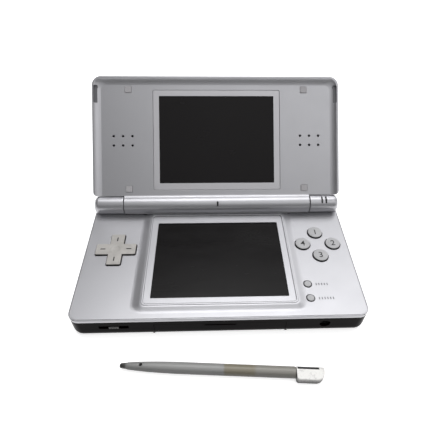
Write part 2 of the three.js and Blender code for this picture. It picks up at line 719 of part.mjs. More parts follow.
// A lug stands on the rear corner of the panel with a rounded outer end
function lug() {
  const end = Array.from({ length: CORNER_STEPS + 1 }, (_, step) => {
    const angle = (step / CORNER_STEPS) * (Math.PI / 2);
    const radius = BARREL_RADIUS - LUG_END_RADIUS * (1 - Math.cos(angle));
    return new THREE.Vector2(radius, LUG_OUTER - LUG_END_RADIUS * (1 - Math.sin(angle)));
  });
  const profile = [new THREE.Vector2(0, LUG_INNER), new THREE.Vector2(BARREL_RADIUS, LUG_INNER), ...end];
  profile.push(new THREE.Vector2(0, LUG_OUTER));
  const geometry = new THREE.LatheGeometry(profile, ROUND_SIDES);
  geometry.rotateZ(-Math.PI / 2);
  geometry.translate(0, HINGE_Y, HINGE_Z);
  const foot = loft([SEAM_HEIGHT + FIT_GAP, HINGE_Z].map((z) => ({
    x: [LUG_INNER, LUG_OUTER],
    y: [HINGE_Y - LUG_FOOT_SETBACK, HINGE_Y + BARREL_RADIUS],
    z,
    radius: LUG_END_RADIUS,
    near: PANEL_EDGE,
  })));
  const squared = block(
    [LUG_INNER, LUG_INNER + LUG_END_RADIUS],
    [HINGE_Y - LUG_FOOT_SETBACK, HINGE_Y + BARREL_RADIUS],
    [SEAM_HEIGHT + FIT_GAP, HINGE_Z],
  );
  const inset = REAR - HINGE_Y - BARREL_RADIUS;
  const bounds = loft([caseRing(0, inset), caseRing(2 * CLOSED_HEIGHT, inset)]);
  const whole = common(join(toSolid(geometry), foot, squared), bounds);
  const bore = barX(PIN_BORE, [LUG_INNER - OVERRUN, LUG_INNER + PIN_IN_LUG + FIT_GAP], HINGE_Y, HINGE_Z);
  return cut(whole, bore);
}

// A small box on the lug's upper front, on the line that faces the player
function lensBlock(setback, gap, low, high) {
  const geometry = new THREE.BoxGeometry(LENS_WIDTH + 2 * gap, LENS_LENGTH + 2 * gap, high - low);
  geometry.translate(SIDE - setback, 0, (low + high) / 2);
  geometry.rotateX(THREE.MathUtils.degToRad(LENS_TURN));
  geometry.translate(0, HINGE_Y, HINGE_Z);
  return toSolid(geometry);
}

function lensSlots() {
  const low = BARREL_RADIUS - LENS_DEPTH;
  const high = BARREL_RADIUS + OVERRUN;
  return join(...LENS_SETBACKS.map((setback) => lensBlock(setback, POCKET_GAP, low, high)));
}

// The trough under the hinge barrel, closed below and open to the rear
function troughWall() {
  const outer = TROUGH_RADIUS + TROUGH_WALL;
  const span = [-LUG_INNER, LUG_INNER];
  const round = barX(outer, span, HINGE_Y, HINGE_Z);
  const shelf = block(span, [HINGE_Y, REAR], [TROUGH_FLOOR, HINGE_Z]);
  return common(join(round, shelf), block(span, [HINGE_Y - outer, REAR], [TROUGH_FLOOR, PANEL_HEIGHT]));
}

function troughCut() {
  const span = [-LUG_INNER, LUG_INNER];
  const rear = block(span, [HINGE_Y, REAR + OVERRUN], [HINGE_Z - TROUGH_RADIUS, HINGE_Z + LID_BACK]);
  return join(barX(TROUGH_RADIUS, span, HINGE_Y, HINGE_Z), rear);
}

function crossOutline(gap) {
  const half = PAD_SPAN / 2 + gap;
  const arm = PAD_ARM / 2 + gap;
  const [x, y] = PAD_CENTRE;
  const across = { x: [x - half, x + half], y: [y - arm, y + arm], radius: PAD_CORNER };
  const along = { x: [x - arm, x + arm], y: [y - half, y + half], radius: PAD_CORNER };
  return [across, along];
}

function keyHoles() {
  const span = [SEAM_HEIGHT - OVERRUN, PANEL_HEIGHT + PLATEAU_RISE];
  const pad = crossOutline(KEY_GAP).map(({ x, y, radius }) => plate(x, y, span, radius));
  const keys = Object.values(KEY_PLACES).map(([x, y]) => barZ(KEY_RADIUS + KEY_GAP, x, y, span, ROUND_SIDES));
  const small = Object.values(SMALL_KEY_PLACES).map(([x, y]) => barZ(SMALL_KEY_RADIUS + KEY_GAP, x, y, span));
  return join(...pad, ...keys, ...small);
}

// Everything cut for the lower screen: the bezel's step, the window and the pocket for the glass
const BEZEL_Y = [FRONT + PLATEAU_START + BEZEL_MARGIN, REAR - BEZEL_REAR_SETBACK];
const LOWER_SCREEN_X = [-BEZEL_HALF_WIDTH + BEZEL_SIDE, BEZEL_HALF_WIDTH - BEZEL_SIDE];
const LOWER_SCREEN_Y = [BEZEL_Y[0] + BEZEL_FRONT, BEZEL_Y[1] - BEZEL_REAR];
const GLASS_X = [LOWER_SCREEN_X[0] - GLASS_MARGIN, LOWER_SCREEN_X[1] + GLASS_MARGIN];
const GLASS_Y = [LOWER_SCREEN_Y[0] - GLASS_MARGIN, LOWER_SCREEN_Y[1] + GLASS_MARGIN];
const BEZEL_TOP = PANEL_HEIGHT + PLATEAU_RISE - BEZEL_STEP;
const LEDGE_BASE = BEZEL_TOP - LEDGE;

function screenOpening() {
  const step = plate(
    [-BEZEL_HALF_WIDTH, BEZEL_HALF_WIDTH],
    BEZEL_Y,
    [BEZEL_TOP, BEZEL_TOP + OVERRUN],
    BEZEL_CORNER,
  );
  const window = block(LOWER_SCREEN_X, LOWER_SCREEN_Y, [SEAM_HEIGHT - OVERRUN, BEZEL_TOP + OVERRUN]);
  const pocket = block(
    [GLASS_X[0] - FIT_GAP, GLASS_X[1] + FIT_GAP],
    [GLASS_Y[0] - FIT_GAP, GLASS_Y[1] + FIT_GAP],
    [SEAM_HEIGHT - OVERRUN, LEDGE_BASE],
  );
  return join(step, window, pocket);
}

// Posts under the panel that take the case screws
function panelPosts() {
  const low = SCREW_RECESS + BOSS_WEB + FIT_GAP;
  return join(...Object.values(SCREW_PLACES).map(([x, y]) => cut(
    barZ(SCREW_SHANK_RADIUS + FIT_GAP + BOSS_WALL, x, y, [low, SEAM_HEIGHT + FIT_GAP]),
    barZ(SCREW_SHANK_RADIUS + POCKET_GAP, x, y, [low - OVERRUN, SEAM_HEIGHT - LIP_DEPTH]),
  )));
}

function makeControlPanel() {
  const rightLug = lug();
  const body = join(panelPlate(), loft(plateauRings()), troughWall(), panelLip(), panelPosts());
  const opened = cut(body, troughCut(), keyHoles(), screenOpening(), rimLine());
  const solid = cut(join(opened, rightLug, mirrored(rightLug)), lensSlots());
  addPiece('control_panel', solid, 'silver');
}

function makeIndicatorLenses() {
  const low = BARREL_RADIUS - LENS_DEPTH + POCKET_GAP;
  const names = ['power_indicator_lens', 'charge_indicator_lens'];
  const skin = barX(BARREL_RADIUS - LENS_RECESS, [LUG_INNER, LUG_OUTER], HINGE_Y, HINGE_Z);
  LENS_SETBACKS.forEach((setback, index) => {
    const lens = common(lensBlock(setback, 0, low, BARREL_RADIUS + OVERRUN), skin);
    addPiece(names[index], lens, 'clear');
  });
}

function makeLowerScreen() {
  const glassTop = LEDGE_BASE - FIT_GAP / 3;
  const glassBase = glassTop - TOUCH_THICKNESS;
  addPiece('touch_panel', block(GLASS_X, GLASS_Y, [glassBase, glassTop]), 'screen');
  const displayTop = glassBase - FIT_GAP;
  const display = block(GLASS_X, GLASS_Y, [displayTop - LOWER_DISPLAY_THICKNESS, displayTop]);
  addPiece('lower_display', display, 'black');
}

function makeDirectionPad() {
  const [x, y] = PAD_CENTRE;
  const bevel = PAD_CORNER / 2;
  const arms = crossOutline(0).map((arm) => loft([
    { ...arm, z: SEAM_HEIGHT - PAD_ARM_DROP },
    { ...arm, z: PAD_TOP - bevel },
    {
      x: [arm.x[0] + bevel / 2, arm.x[1] - bevel / 2],
      y: [arm.y[0] + bevel / 2, arm.y[1] - bevel / 2],
      z: PAD_TOP,
      radius: PAD_CORNER,
    },
  ]));
  const disc = barZ(PAD_DISC_RADIUS, x, y, [PAD_DISC_BASE, PAD_DISC_BASE + PAD_DISC_THICKNESS], ROUND_SIDES);
  const dishTop = PAD_TOP + PAD_DISH_RADIUS - PAD_DISH_DEPTH;
  const dish = new THREE.SphereGeometry(PAD_DISH_RADIUS, SMALL_SIDES, SMALL_SIDES / 2);
  dish.translate(x, y, dishTop);
  const ticks = [[1, 0], [-1, 0], [0, 1], [0, -1]].map(([dx, dy]) => block(
    about(x + dx * PAD_TICK_FROM_CENTRE, dx ? PAD_TICK_LENGTH : PAD_TICK_WIDTH),
    about(y + dy * PAD_TICK_FROM_CENTRE, dy ? PAD_TICK_LENGTH : PAD_TICK_WIDTH),
    [PAD_TOP - PAD_TICK_DEPTH, PAD_TOP + OVERRUN],
  ));
  addPiece('direction_pad', cut(join(...arms, disc), toSolid(dish), ...ticks), 'padKey');
  const pivotTop = PAD_DISC_BASE - FIT_GAP;
  addPiece('direction_pad_pivot', barZ(PIVOT_RADIUS, x, y, [pivotTop - PIVOT_THICKNESS, pivotTop]), 'black');
}

// A round key with a flange below the panel and a softly crowned top
function keySolid([x, y], radius, top) {
  return turned([
    [0, FLANGE_BASE],
    [radius + FLANGE_EXTRA, FLANGE_BASE],
    [radius + FLANGE_EXTRA, FLANGE_BASE + FLANGE_THICKNESS],
    [radius, FLANGE_BASE + FLANGE_THICKNESS],
    [radius, top - KEY_EDGE],
    [radius - KEY_EDGE / 4, top - KEY_EDGE / 2],
    [radius - KEY_EDGE, top - KEY_CROWN],
    [0, top],
  ], x, y, ROUND_SIDES);
}

function makeKeys() {
  for (const [place, centre] of Object.entries(KEY_PLACES)) {
    addPiece(`face_button_${place}`, keySolid(centre, KEY_RADIUS, PANEL_HEIGHT + KEY_RISE), 'keys');
  }
  for (const [name, centre] of Object.entries(SMALL_KEY_PLACES)) {
    addPiece(`${name}_button`, keySolid(centre, SMALL_KEY_RADIUS, PANEL_HEIGHT + SMALL_KEY_RISE), 'keys');
  }
}

// A rubber sheet on the board with a low dome under each key
function sheet(x, y, domes) {
  const top = SHEET_BASE + SHEET_THICKNESS;
  const raised = domes.map(([dx, dy]) => turned([
    [0, SHEET_BASE],
    [DOME_RADIUS, SHEET_BASE],
    [DOME_RADIUS, top],
    [DOME_RADIUS / 2, top + DOME_RISE],
    [0, top + DOME_RISE],
  ], dx, dy));
  return join(plate(x, y, [SHEET_BASE, top], SHEET_CORNER), ...raised);
}

function makeMembranes() {
  const [padX, padY] = PAD_CENTRE;
  const away = PAD_DOME_FROM_CENTRE;
  const padDomes = [[padX + away, padY], [padX - away, padY], [padX, padY + away], [padX, padY - away]];
  const padSheet = sheet(about(padX, 2 * PAD_SHEET_HALF), about(padY, 2 * PAD_SHEET_HALF), padDomes);
  const seat = barZ(PIVOT_RADIUS + FIT_GAP, padX, padY, [SHEET_BASE - OVERRUN, SEAM_HEIGHT]);
  addPiece('direction_pad_membrane', cut(padSheet, seat), 'rubber');
  const [keysX, keysY] = KEYS_CENTRE;
  const keySheet = sheet(
    about(keysX, 2 * KEY_SHEET_HALF), about(keysY, 2 * KEY_SHEET_HALF), Object.values(KEY_PLACES));
  addPiece('face_button_membrane', keySheet, 'rubber');
  const smallY = grown([FRONT + SELECT_FROM_FRONT, FRONT + START_FROM_FRONT], SMALL_SHEET_MARGIN);
  const smallSheet = sheet(
    about(SMALL_KEYS_X, 2 * SMALL_SHEET_HALF_WIDTH), smallY, Object.values(SMALL_KEY_PLACES));
  addPiece('small_button_membrane', smallSheet, 'rubber');
}

function makeMainBoard() {
  const board = plate(
    [-SIDE + BOARD_SIDE_SETBACK, SIDE - BOARD_SIDE_SETBACK],
    [FRONT + BOARD_FRONT_SETBACK, REAR - BOARD_REAR_SETBACK],
    [BOARD_BASE, SHEET_BASE],
    BOARD_CORNER,
  );
  const clearance = SCREW_SHANK_RADIUS + 2 * FIT_GAP + BOSS_WALL;
  const holes = Object.values(SCREW_PLACES).map(([x, y]) =>
    barZ(clearance, x, y, [BOARD_BASE - OVERRUN, SEAM_HEIGHT]));
  addPiece('main_board', cut(board, ...holes), 'board');
  const left = -SIDE + WIRELESS_FROM_SIDE;
  const start = FRONT + WIRELESS_FROM_FRONT;
  const top = UNDER_BOARD;
  const module = plate(
    [left, left + WIRELESS_SIZE[0]], [start, start + WIRELESS_SIZE[1]], [top - WIRELESS_SIZE[2], top],
    BOARD_CORNER / 4);
  addPiece('wireless_module', module, 'steel');
}

function makeBattery() {
  const base = FLOOR + 2 * FIT_GAP;
  const cell = plate(BATTERY_X, BATTERY_Y, [base, BOARD_BASE - BATTERY_HEADROOM], BATTERY_CORNER);
  addPiece('battery', cell, 'battery');
  const screwY = COVER_Y[0] + COVER_SCREW_FROM_END;
  const screwX = (COVER_X[0] + COVER_X[1]) / 2;
  const cover = plate(COVER_X, COVER_Y, [0, FLOOR], BATTERY_CORNER);
  const tabs = [-1, 1].map((side) => block(
    about(screwX + side * COVER_TAB_SPACING / 2, COVER_TAB_WIDTH),
    [COVER_Y[1] - COVER_TAB_LENGTH, COVER_Y[1] + COVER_TAB_LENGTH],
    [FLOOR + FIT_GAP / 2, FLOOR + FIT_GAP / 2 + COVER_TAB_THICKNESS],
  ));
  const risers = [-1, 1].map((side) => block(
    about(screwX + side * COVER_TAB_SPACING / 2, COVER_TAB_WIDTH),
    [COVER_Y[1] - COVER_TAB_LENGTH, COVER_Y[1] - FIT_GAP],
    [FLOOR / 2, FLOOR + FIT_GAP],
  ));
  const seatDepth = COVER_SCREW_DEPTH + POCKET_GAP;
  const seat = barZ(COVER_SCREW_HEAD + POCKET_GAP, screwX, screwY, [-OVERRUN, seatDepth]);
  addPiece('battery_cover', cut(join(cover, ...risers, ...tabs), seat), 'darkCase');
  addPiece('battery_cover_screw', barZ(COVER_SCREW_HEAD, screwX, screwY, [0, COVER_SCREW_DEPTH]), 'steel');
}

// The connector that the cartridge's edge goes into
function makeCartridgeConnector() {
  const front = CONNECTOR_FRONT;
  const middle = (CART_Z[0] + CART_Z[1]) / 2;
  const body = block([-CONNECTOR_HALF_WIDTH, CONNECTOR_HALF_WIDTH], [front, front + CONNECTOR_DEPTH], CART_Z);
  const slot = block(
    [-CONNECTOR_HALF_WIDTH + CONNECTOR_SLOT_DEPTH, CONNECTOR_HALF_WIDTH - CONNECTOR_SLOT_DEPTH],
    [front - OVERRUN, front + CONNECTOR_SLOT_DEPTH],
    about(middle, CONNECTOR_SLOT_HEIGHT),
  );
  addPiece('cartridge_connector', cut(body, slot), 'black');
}

// The cover follows the case's outside, with a hollow plug behind it
function makeSlotCover() {
  const inset = FIT_GAP / 2;
  const faceBlock = block(
    [-CART_HALF_WIDTH + inset, CART_HALF_WIDTH - inset],
    [FRONT - OVERRUN, FRONT + EDGE_INSET + CASE_WALL],
    [CART_Z[0] + inset, CART_Z[1] - inset],
  );
  const face = common(caseBody(0, 0, SEAM_HEIGHT), faceBlock);
  const plugX = CART_HALF_WIDTH - COVER_INSERT_SETBACK;
  const plugZ = [CART_Z[0] + COVER_INSERT_SETBACK, CART_Z[1] - COVER_INSERT_SETBACK];
  const plugEnd = FRONT + CASE_WALL + COVER_INSERT_DEPTH;
  const plug = block([-plugX, plugX], [FRONT + CASE_WALL, plugEnd], plugZ);
  const hollow = block(
    [-plugX + COVER_INSERT_WALL, plugX - COVER_INSERT_WALL],
    [FRONT + EDGE_INSET + CASE_WALL, plugEnd + OVERRUN],
    [plugZ[0] + COVER_INSERT_WALL, plugZ[1] - COVER_INSERT_WALL],
  );
  const pull = block(
    about(0, COVER_PULL_WIDTH),
    [FRONT - OVERRUN, FRONT + COVER_PULL_DEPTH],
    [CART_Z[1] - COVER_INSERT_SETBACK - COVER_PULL_HEIGHT, CART_Z[1] - COVER_INSERT_SETBACK],
  );
  addPiece('slot_cover', cut(join(face, plug), hollow, pull), 'darkCase');
}

// A thin metal cage, open to the rear
function makeCardSocket() {
  const mouth = REAR - CASE_WALL - FIT_GAP;
  const outside = block(
    [-CARD_HALF_WIDTH - CARD_SIDE_WALL, CARD_HALF_WIDTH + CARD_SIDE_WALL],
    [CARD_INNER - CARD_SIDE_WALL, mouth],
    [CARD_Z[0] - CARD_PLATE, CARD_Z[1] + CARD_PLATE],
  );
  const inside = block([-CARD_HALF_WIDTH, CARD_HALF_WIDTH], [CARD_INNER, REAR], CARD_Z);
  addPiece('card_socket', cut(outside, inside), 'steel');
}

function makeStylusChannel() {
  const wall = CHANNEL_WALL;
  const end = SIDE - STYLUS_LENGTH - CHANNEL_CLEARANCE;
  const boreY = [CHANNEL_Y - CHANNEL_BORE, CHANNEL_Y + CHANNEL_BORE];
  const mouth = SIDE - CASE_WALL - FIT_GAP;
  const spanZ = [CHANNEL_SPAN_Z[0] - wall, CHANNEL_SPAN_Z[1] + wall];
  const outside = join(
    block([end - wall, MOUTH_INNER], [boreY[0] - wall, boreY[1] + wall], spanZ),
    block([MOUTH_INNER - wall, mouth], [MOUTH_Y[0] - wall, MOUTH_Y[1] + wall], spanZ),
  );
  const inside = join(
    block([end, SIDE], boreY, CHANNEL_SPAN_Z),
    block([MOUTH_INNER, SIDE], MOUTH_Y, CHANNEL_SPAN_Z),
  );
  const foot = caseBody(CASE_WALL + FIT_GAP, FLOOR + FIT_GAP, SEAM_HEIGHT);
  addPiece('stylus_channel', common(cut(outside, inside), foot), 'black');
}

function makeSockets() {
  const front = FRONT + CASE_WALL + FIT_GAP;
  const jack = block(
    about(JACK_X, JACK_SIZE[0]), [front, front + JACK_SIZE[1]], about(JACK_Z, JACK_SIZE[2]));
  const bore = barY(JACK_BORE, JACK_X, [front - OVERRUN, front + JACK_SIZE[1] - CASE_WALL], JACK_Z);
  addPiece('headphone_jack', cut(jack, bore), 'black');
  const rear = REAR - CASE_WALL - FIT_GAP;
  const socket = block(
    about(CHARGE_X, CHARGE_SIZE[0]), [rear - CHARGE_SIZE[1], rear], about(CHARGE_Z, CHARGE_SIZE[2]));
  const slotY = [rear - CHARGE_SLOT[1], rear + OVERRUN];
  const slot = block(about(CHARGE_X, CHARGE_SLOT[0]), slotY, about(CHARGE_Z, CHARGE_SLOT[2]));
  addPiece('charge_socket', cut(socket, slot), 'steel');
}

// Ridges cut across a slider's knob, for the fingertip
function ridgeCuts(makeCut) {
  const pitch = SLIDER_KNOB_LENGTH / (SLIDER_RIDGES + 1);
  return Array.from({ length: SLIDER_RIDGES }, (_, index) =>
    makeCut(about((index - (SLIDER_RIDGES - 1) / 2) * pitch, pitch / 3)));
}

function makeSliders() {
  const behindSide = SIDE - CASE_WALL - FIT_GAP;
  const powerKnobX = [behindSide - SLIDER_PLATE_THICKNESS / 2, SIDE + SLIDER_PROUD];
  const powerKnob = block(powerKnobX, about(POWER_Y, SLIDER_KNOB_LENGTH), KNOB_Z);
  const powerPlateX = [behindSide - SLIDER_PLATE_THICKNESS, behindSide];
  const powerPlate = block(powerPlateX, about(POWER_Y, POWER_PLATE_LENGTH), SLIDER_PLATE_Z);
  const powerRidges = ridgeCuts((span) => block(
    [SIDE + SLIDER_PROUD - SLIDER_RIDGE_DEPTH, SIDE + OVERRUN],
    [POWER_Y + span[0], POWER_Y + span[1]],
    [KNOB_Z[0] - OVERRUN, KNOB_Z[1] + OVERRUN],
  ));
  addPiece('power_slider', cut(join(powerKnob, powerPlate), ...powerRidges), 'keys');
  const behindFront = FRONT + CASE_WALL + FIT_GAP;
  const volumeKnobY = [FRONT - SLIDER_PROUD, behindFront + SLIDER_PLATE_THICKNESS / 2];
  const volumeKnob = block(about(VOLUME_X, SLIDER_KNOB_LENGTH), volumeKnobY, KNOB_Z);
  const volumePlateY = [behindFront, behindFront + SLIDER_PLATE_THICKNESS];
  const volumePlate = block(about(VOLUME_X, VOLUME_PLATE_LENGTH), volumePlateY, SLIDER_PLATE_Z);
  const volumeRidges = ridgeCuts((span) => block(
    [VOLUME_X + span[0], VOLUME_X + span[1]],
    [FRONT - OVERRUN, FRONT - SLIDER_PROUD + SLIDER_RIDGE_DEPTH],
    [KNOB_Z[0] - OVERRUN, KNOB_Z[1] + OVERRUN],
  ));
  addPiece('volume_slider', cut(join(volumeKnob, volumePlate), ...volumeRidges), 'keys');
}

// The right shoulder button: a curved skin of the case with two knuckles on its pin
function shoulderButton() {
  const outside = caseBody(0, 0, SEAM_HEIGHT);
  const inside = loft([caseRing(-OVERRUN, SHOULDER_WALL), caseRing(SEAM_HEIGHT + OVERRUN, SHOULDER_WALL)]);
  const skin = common(cut(outside, inside), shoulderBlock(0, 0));
  const knuckles = [SHOULDER_BASE, SHOULDER_TOP - SHOULDER_KNUCKLE_HEIGHT].map((low) =>
    barZ(SHOULDER_KNUCKLE_RADIUS, SHOULDER_X, SHOULDER_Y, [low, low + SHOULDER_KNUCKLE_HEIGHT]));
  const bore = barZ(SHOULDER_PIN_RADIUS + FIT_GAP, SHOULDER_X, SHOULDER_Y, [0, SEAM_HEIGHT]);
  return cut(join(skin, ...knuckles), bore);
}

function makeShoulderButtons() {
  const button = shoulderButton();
  const pin = barZ(SHOULDER_PIN_RADIUS, SHOULDER_X, SHOULDER_Y, [FLOOR + 2 * FIT_GAP, SEAM_HEIGHT - FIT_GAP]);
  const springZ = [
    SHOULDER_BASE + SHOULDER_KNUCKLE_HEIGHT + FIT_GAP,
    SHOULDER_TOP - SHOULDER_KNUCKLE_HEIGHT - FIT_GAP,
  ];
  const springBore = SHOULDER_PIN_RADIUS + FIT_GAP;
  const spring = cut(
    barZ(springBore + SHOULDER_SPRING_WALL, SHOULDER_X, SHOULDER_Y, springZ),
    barZ(springBore, SHOULDER_X, SHOULDER_Y, [0, SEAM_HEIGHT]),
  );
  for (const [side, place] of [['right', (solid) => solid], ['left', mirrored]]) {
    addPiece(`${side}_shoulder_button`, place(button), 'silver');
    addPiece(`${side}_shoulder_pin`, place(pin), 'steel');
    addPiece(`${side}_shoulder_spring`, place(spring), 'steel');
  }
}

function makeCaseScrews() {
  const headTop = SCREW_RECESS - FIT_GAP;
  const shankZ = [headTop - SCREW_HEAD_HEIGHT / 2, SEAM_HEIGHT - SCREW_END_DROP];
  for (const [corner, [x, y]] of Object.entries(SCREW_PLACES)) {
    const head = barZ(SCREW_HEAD_RADIUS, x, y, [headTop - SCREW_HEAD_HEIGHT, headTop]);
    const shank = barZ(SCREW_SHANK_RADIUS, x, y, shankZ);
    addPiece(`case_screw_${corner}`, join(head, shank), 'steel');
  }
}

// A solid shaft on the left and a hollow sleeve on the right carry the lid
function makeHingePins() {
  const span = [LUG_INNER - FIT_GAP - PIN_IN_BARREL, LUG_INNER + PIN_IN_LUG];
  const pin = barX(PIN_RADIUS, span, HINGE_Y, HINGE_Z);
  addPiece('hinge_shaft', mirrored(pin), 'steel');
  const bore = barX(SLEEVE_BORE, [span[0] - OVERRUN, span[1] + OVERRUN], HINGE_Y, HINGE_Z);
  addPiece('hinge_sleeve', cut(pin, bore), 'steel');
}

// Lid outlines, in the lid's own frame
function lidRing(z, inset, near = inset) {
  return {
    x: [-SIDE + inset, SIDE - inset],
    y: [LID_NEAR + near, LID_LENGTH - inset],
    z,
    radius: Math.max(CORNER_RADIUS - inset, CORNER_RADIUS / 4),
    near: Math.max(LID_NEAR_CORNER - inset, LID_NEAR_CORNER / 4),
  };
}

// Room for the lugs at the lid's near corners
function lugClearance() {
  const right = barX(BARREL_RADIUS + 2 * FIT_GAP, [BARREL_HALF, SIDE + OVERRUN], 0, 0);
  return join(right, mirrored(right));
}

function barrelBore() {
  const inner = BARREL_HALF - BARREL_END_WALL;
  return join(
    barX(BARREL_BORE, [-inner, inner], 0, 0),
    barX(PIN_BORE, [-BARREL_HALF - OVERRUN, BARREL_HALF + OVERRUN], 0, 0),
  );
}

function above(height) {
  return block([-WIDTH, WIDTH], [-WIDTH, WIDTH], [height, height + WIDTH]);
}

function below(height) {
  return block([-WIDTH, WIDTH], [-WIDTH, WIDTH], [height - WIDTH, height]);
}

function makeLidShell() {
  const rounding = Array.from({ length: EDGE_STEPS + 1 }, (_, step) => {
    const angle = (1 - step / EDGE_STEPS) * (Math.PI / 2);
    return lidRing(-LID_BACK + LID_EDGE_RISE * (1 - Math.sin(angle)), LID_EDGE_INSET * (1 - Math.cos(angle)));
  });
  const panel = loft([...rounding, lidRing(LID_SEAM, 0)]);
  const span = [-BARREL_HALF, BARREL_HALF];
  const neck = block(span, [0, LID_NEAR + LID_EDGE_INSET], [-LID_BACK, LID_SEAM]);
  const barrel = common(barX(LID_BACK, span, 0, 0), below(LID_SEAM));
  const cavity = loft([-LID_BACK + LID_WALL, LID_SEAM + OVERRUN].map((z) => lidRing(z, LID_WALL, LID_WALL)));
  const solid = cut(join(panel, neck, barrel), cavity, barrelBore(), lugClearance());
  addPiece('lid_shell', solid, 'silver', lid);
}

// The face is sunk below the rim, with a sloped wall down to it on three sides
function lidRecess() {
  const slope = (out) => LID_RIM_WIDTH + LID_SLOPE * (1 - out);
  const shares = [[0, 0], [0.2, 0.35], [0.6, 0.75], [1, 1]]; // rise and run shares up the slope
  const rings = shares.map(([up, out]) => ({
    x: [-SIDE + slope(out), SIDE - slope(out)],
    y: [-LID_LENGTH / 2, LID_LENGTH - slope(out)],
    z: LID_FACE + (LID_RIM - LID_FACE) * up,
    radius: LID_RECESS_CORNER + out,
  }));
  return loft([...rings, { ...rings[rings.length - 1], z: LID_RIM + OVERRUN }]);
}

// A smooth ramp from the face up on to the barrel, tangent to its circle
function barrelRamp() {
  const touch = THREE.MathUtils.degToRad(RAMP_TOUCH_ANGLE);
  const start = [BARREL_RADIUS * Math.cos(touch), BARREL_RADIUS * Math.sin(touch)];
  const bend = start[0] + (start[1] - LID_FACE) * Math.tan(touch);
  const profile = new THREE.Shape();
  profile.moveTo(0, LID_SEAM + FIT_GAP);
  profile.lineTo(RAMP_END, LID_SEAM + FIT_GAP);
  profile.lineTo(RAMP_END, LID_FACE);
  profile.quadraticCurveTo(bend, LID_FACE, start[0], start[1]);
  profile.lineTo(0, BARREL_RADIUS / 2);
  const geometry = new THREE.ExtrudeGeometry(profile, {
    depth: 2 * BARREL_HALF, bevelEnabled: false, curveSegments: CORNER_STEPS,
  });
  geometry.applyMatrix4(new THREE.Matrix4().makeBasis(
    new THREE.Vector3(0, 1, 0), new THREE.Vector3(0, 0, 1), new THREE.Vector3(1, 0, 0)));
  geometry.translate(-BARREL_HALF, 0, 0);
  return toSolid(geometry);
}

const LENS_PLATE_X = [-SIDE + LENS_SIDE_SETBACK, SIDE - LENS_SIDE_SETBACK];
const LENS_PLATE_Y = [LENS_START, LID_LENGTH - LENS_END_SETBACK];
const FRAME_BASE = LID_SEAM + FIT_GAP;
const LENS_BASE = LID_FACE - LENS_PLATE_THICKNESS;
const LEDGE_LOW = LENS_BASE - FIT_GAP - LENS_LEDGE_THICKNESS;

function grown(span, by) {
  return [span[0] - by, span[1] + by];
}

function speakerPlaces() {
  return [-1, 1].map((side) => side * (SIDE - SPEAKER_FROM_SIDE));
}

function bumperPlaces() {
  const x = SIDE - BUMPER_FROM_SIDE;
  return { left: -x, right: x };
}

function frameHoles() {
  const through = [LEDGE_LOW - OVERRUN, LID_FACE + OVERRUN];
  const lensHole = plate(
    grown(LENS_PLATE_X, POCKET_GAP), grown(LENS_PLATE_Y, POCKET_GAP),
    [LENS_BASE - FIT_GAP, LID_FACE + OVERRUN], LENS_PLATE_CORNER);
  const viewHole = block(
    grown(LENS_PLATE_X, -LENS_LEDGE_WIDTH), grown(LENS_PLATE_Y, -LENS_LEDGE_WIDTH), through);
  const holes = speakerPlaces().flatMap((centre) =>
    Array.from({ length: SPEAKER_HOLE_COLUMNS * SPEAKER_HOLE_ROWS }, (_, index) => {
      const column = (index % SPEAKER_HOLE_COLUMNS) - (SPEAKER_HOLE_COLUMNS - 1) / 2;
      const row = Math.floor(index / SPEAKER_HOLE_COLUMNS) - (SPEAKER_HOLE_ROWS - 1) / 2;
      const x = centre + column * SPEAKER_HOLE_PITCH;
      const y = SPEAKER_CENTRE + row * SPEAKER_HOLE_PITCH;
      return barZ(SPEAKER_HOLE_RADIUS, x, y, through, SMALL_SIDES / 2);
    }));
  const pockets = Object.values(bumperPlaces()).flatMap((x) => BUMPER_ROWS.map((y) => block(
    grown(about(x, BUMPER_SIZE), POCKET_GAP), grown(about(y, BUMPER_SIZE), POCKET_GAP),
    [LID_FACE - BUMPER_POCKET_DEPTH, LID_FACE + OVERRUN])));
  const mic = block(about(0, MIC_SLOT_WIDTH), about(0, MIC_SLOT_LENGTH), [BARREL_BORE / 2, LID_BACK]);
  const notchEnd = LID_LENGTH - NOTCH_FROM_END;
  const notch = block(
    [SIDE - NOTCH_FROM_SIDE - NOTCH_WIDTH, SIDE - NOTCH_FROM_SIDE],
    [notchEnd - NOTCH_LENGTH, notchEnd],
    [LID_RIM - NOTCH_DEPTH, LID_RIM + OVERRUN],
  );
  return join(lensHole, viewHole, ...holes, ...pockets, mic, notch, mirrored(notch));
}

// The ring below the frame that the lens rests on, and the lip inside the shell's wall
function frameUnderside() {
  const ring = block(
    grown(LENS_PLATE_X, LENS_LEDGE_THICKNESS), grown(LENS_PLATE_Y, LENS_LEDGE_THICKNESS),
    [LEDGE_LOW, FRAME_BASE + FIT_GAP]);
  const inset = LID_WALL + FIT_GAP;
  const span = [FRAME_BASE - LID_LIP_DEPTH, FRAME_BASE + FIT_GAP];
  const lip = cut(
    loft(span.map((z) => lidRing(z, inset))),
    loft([span[0] - OVERRUN, span[1] + OVERRUN].map((z) => lidRing(z, inset + LID_LIP_WALL))),
    block([-SIDE, SIDE], [0, LENS_PLATE_Y[0]], [span[0] - OVERRUN, FRAME_BASE]),
  );
  return join(ring, lip);
}

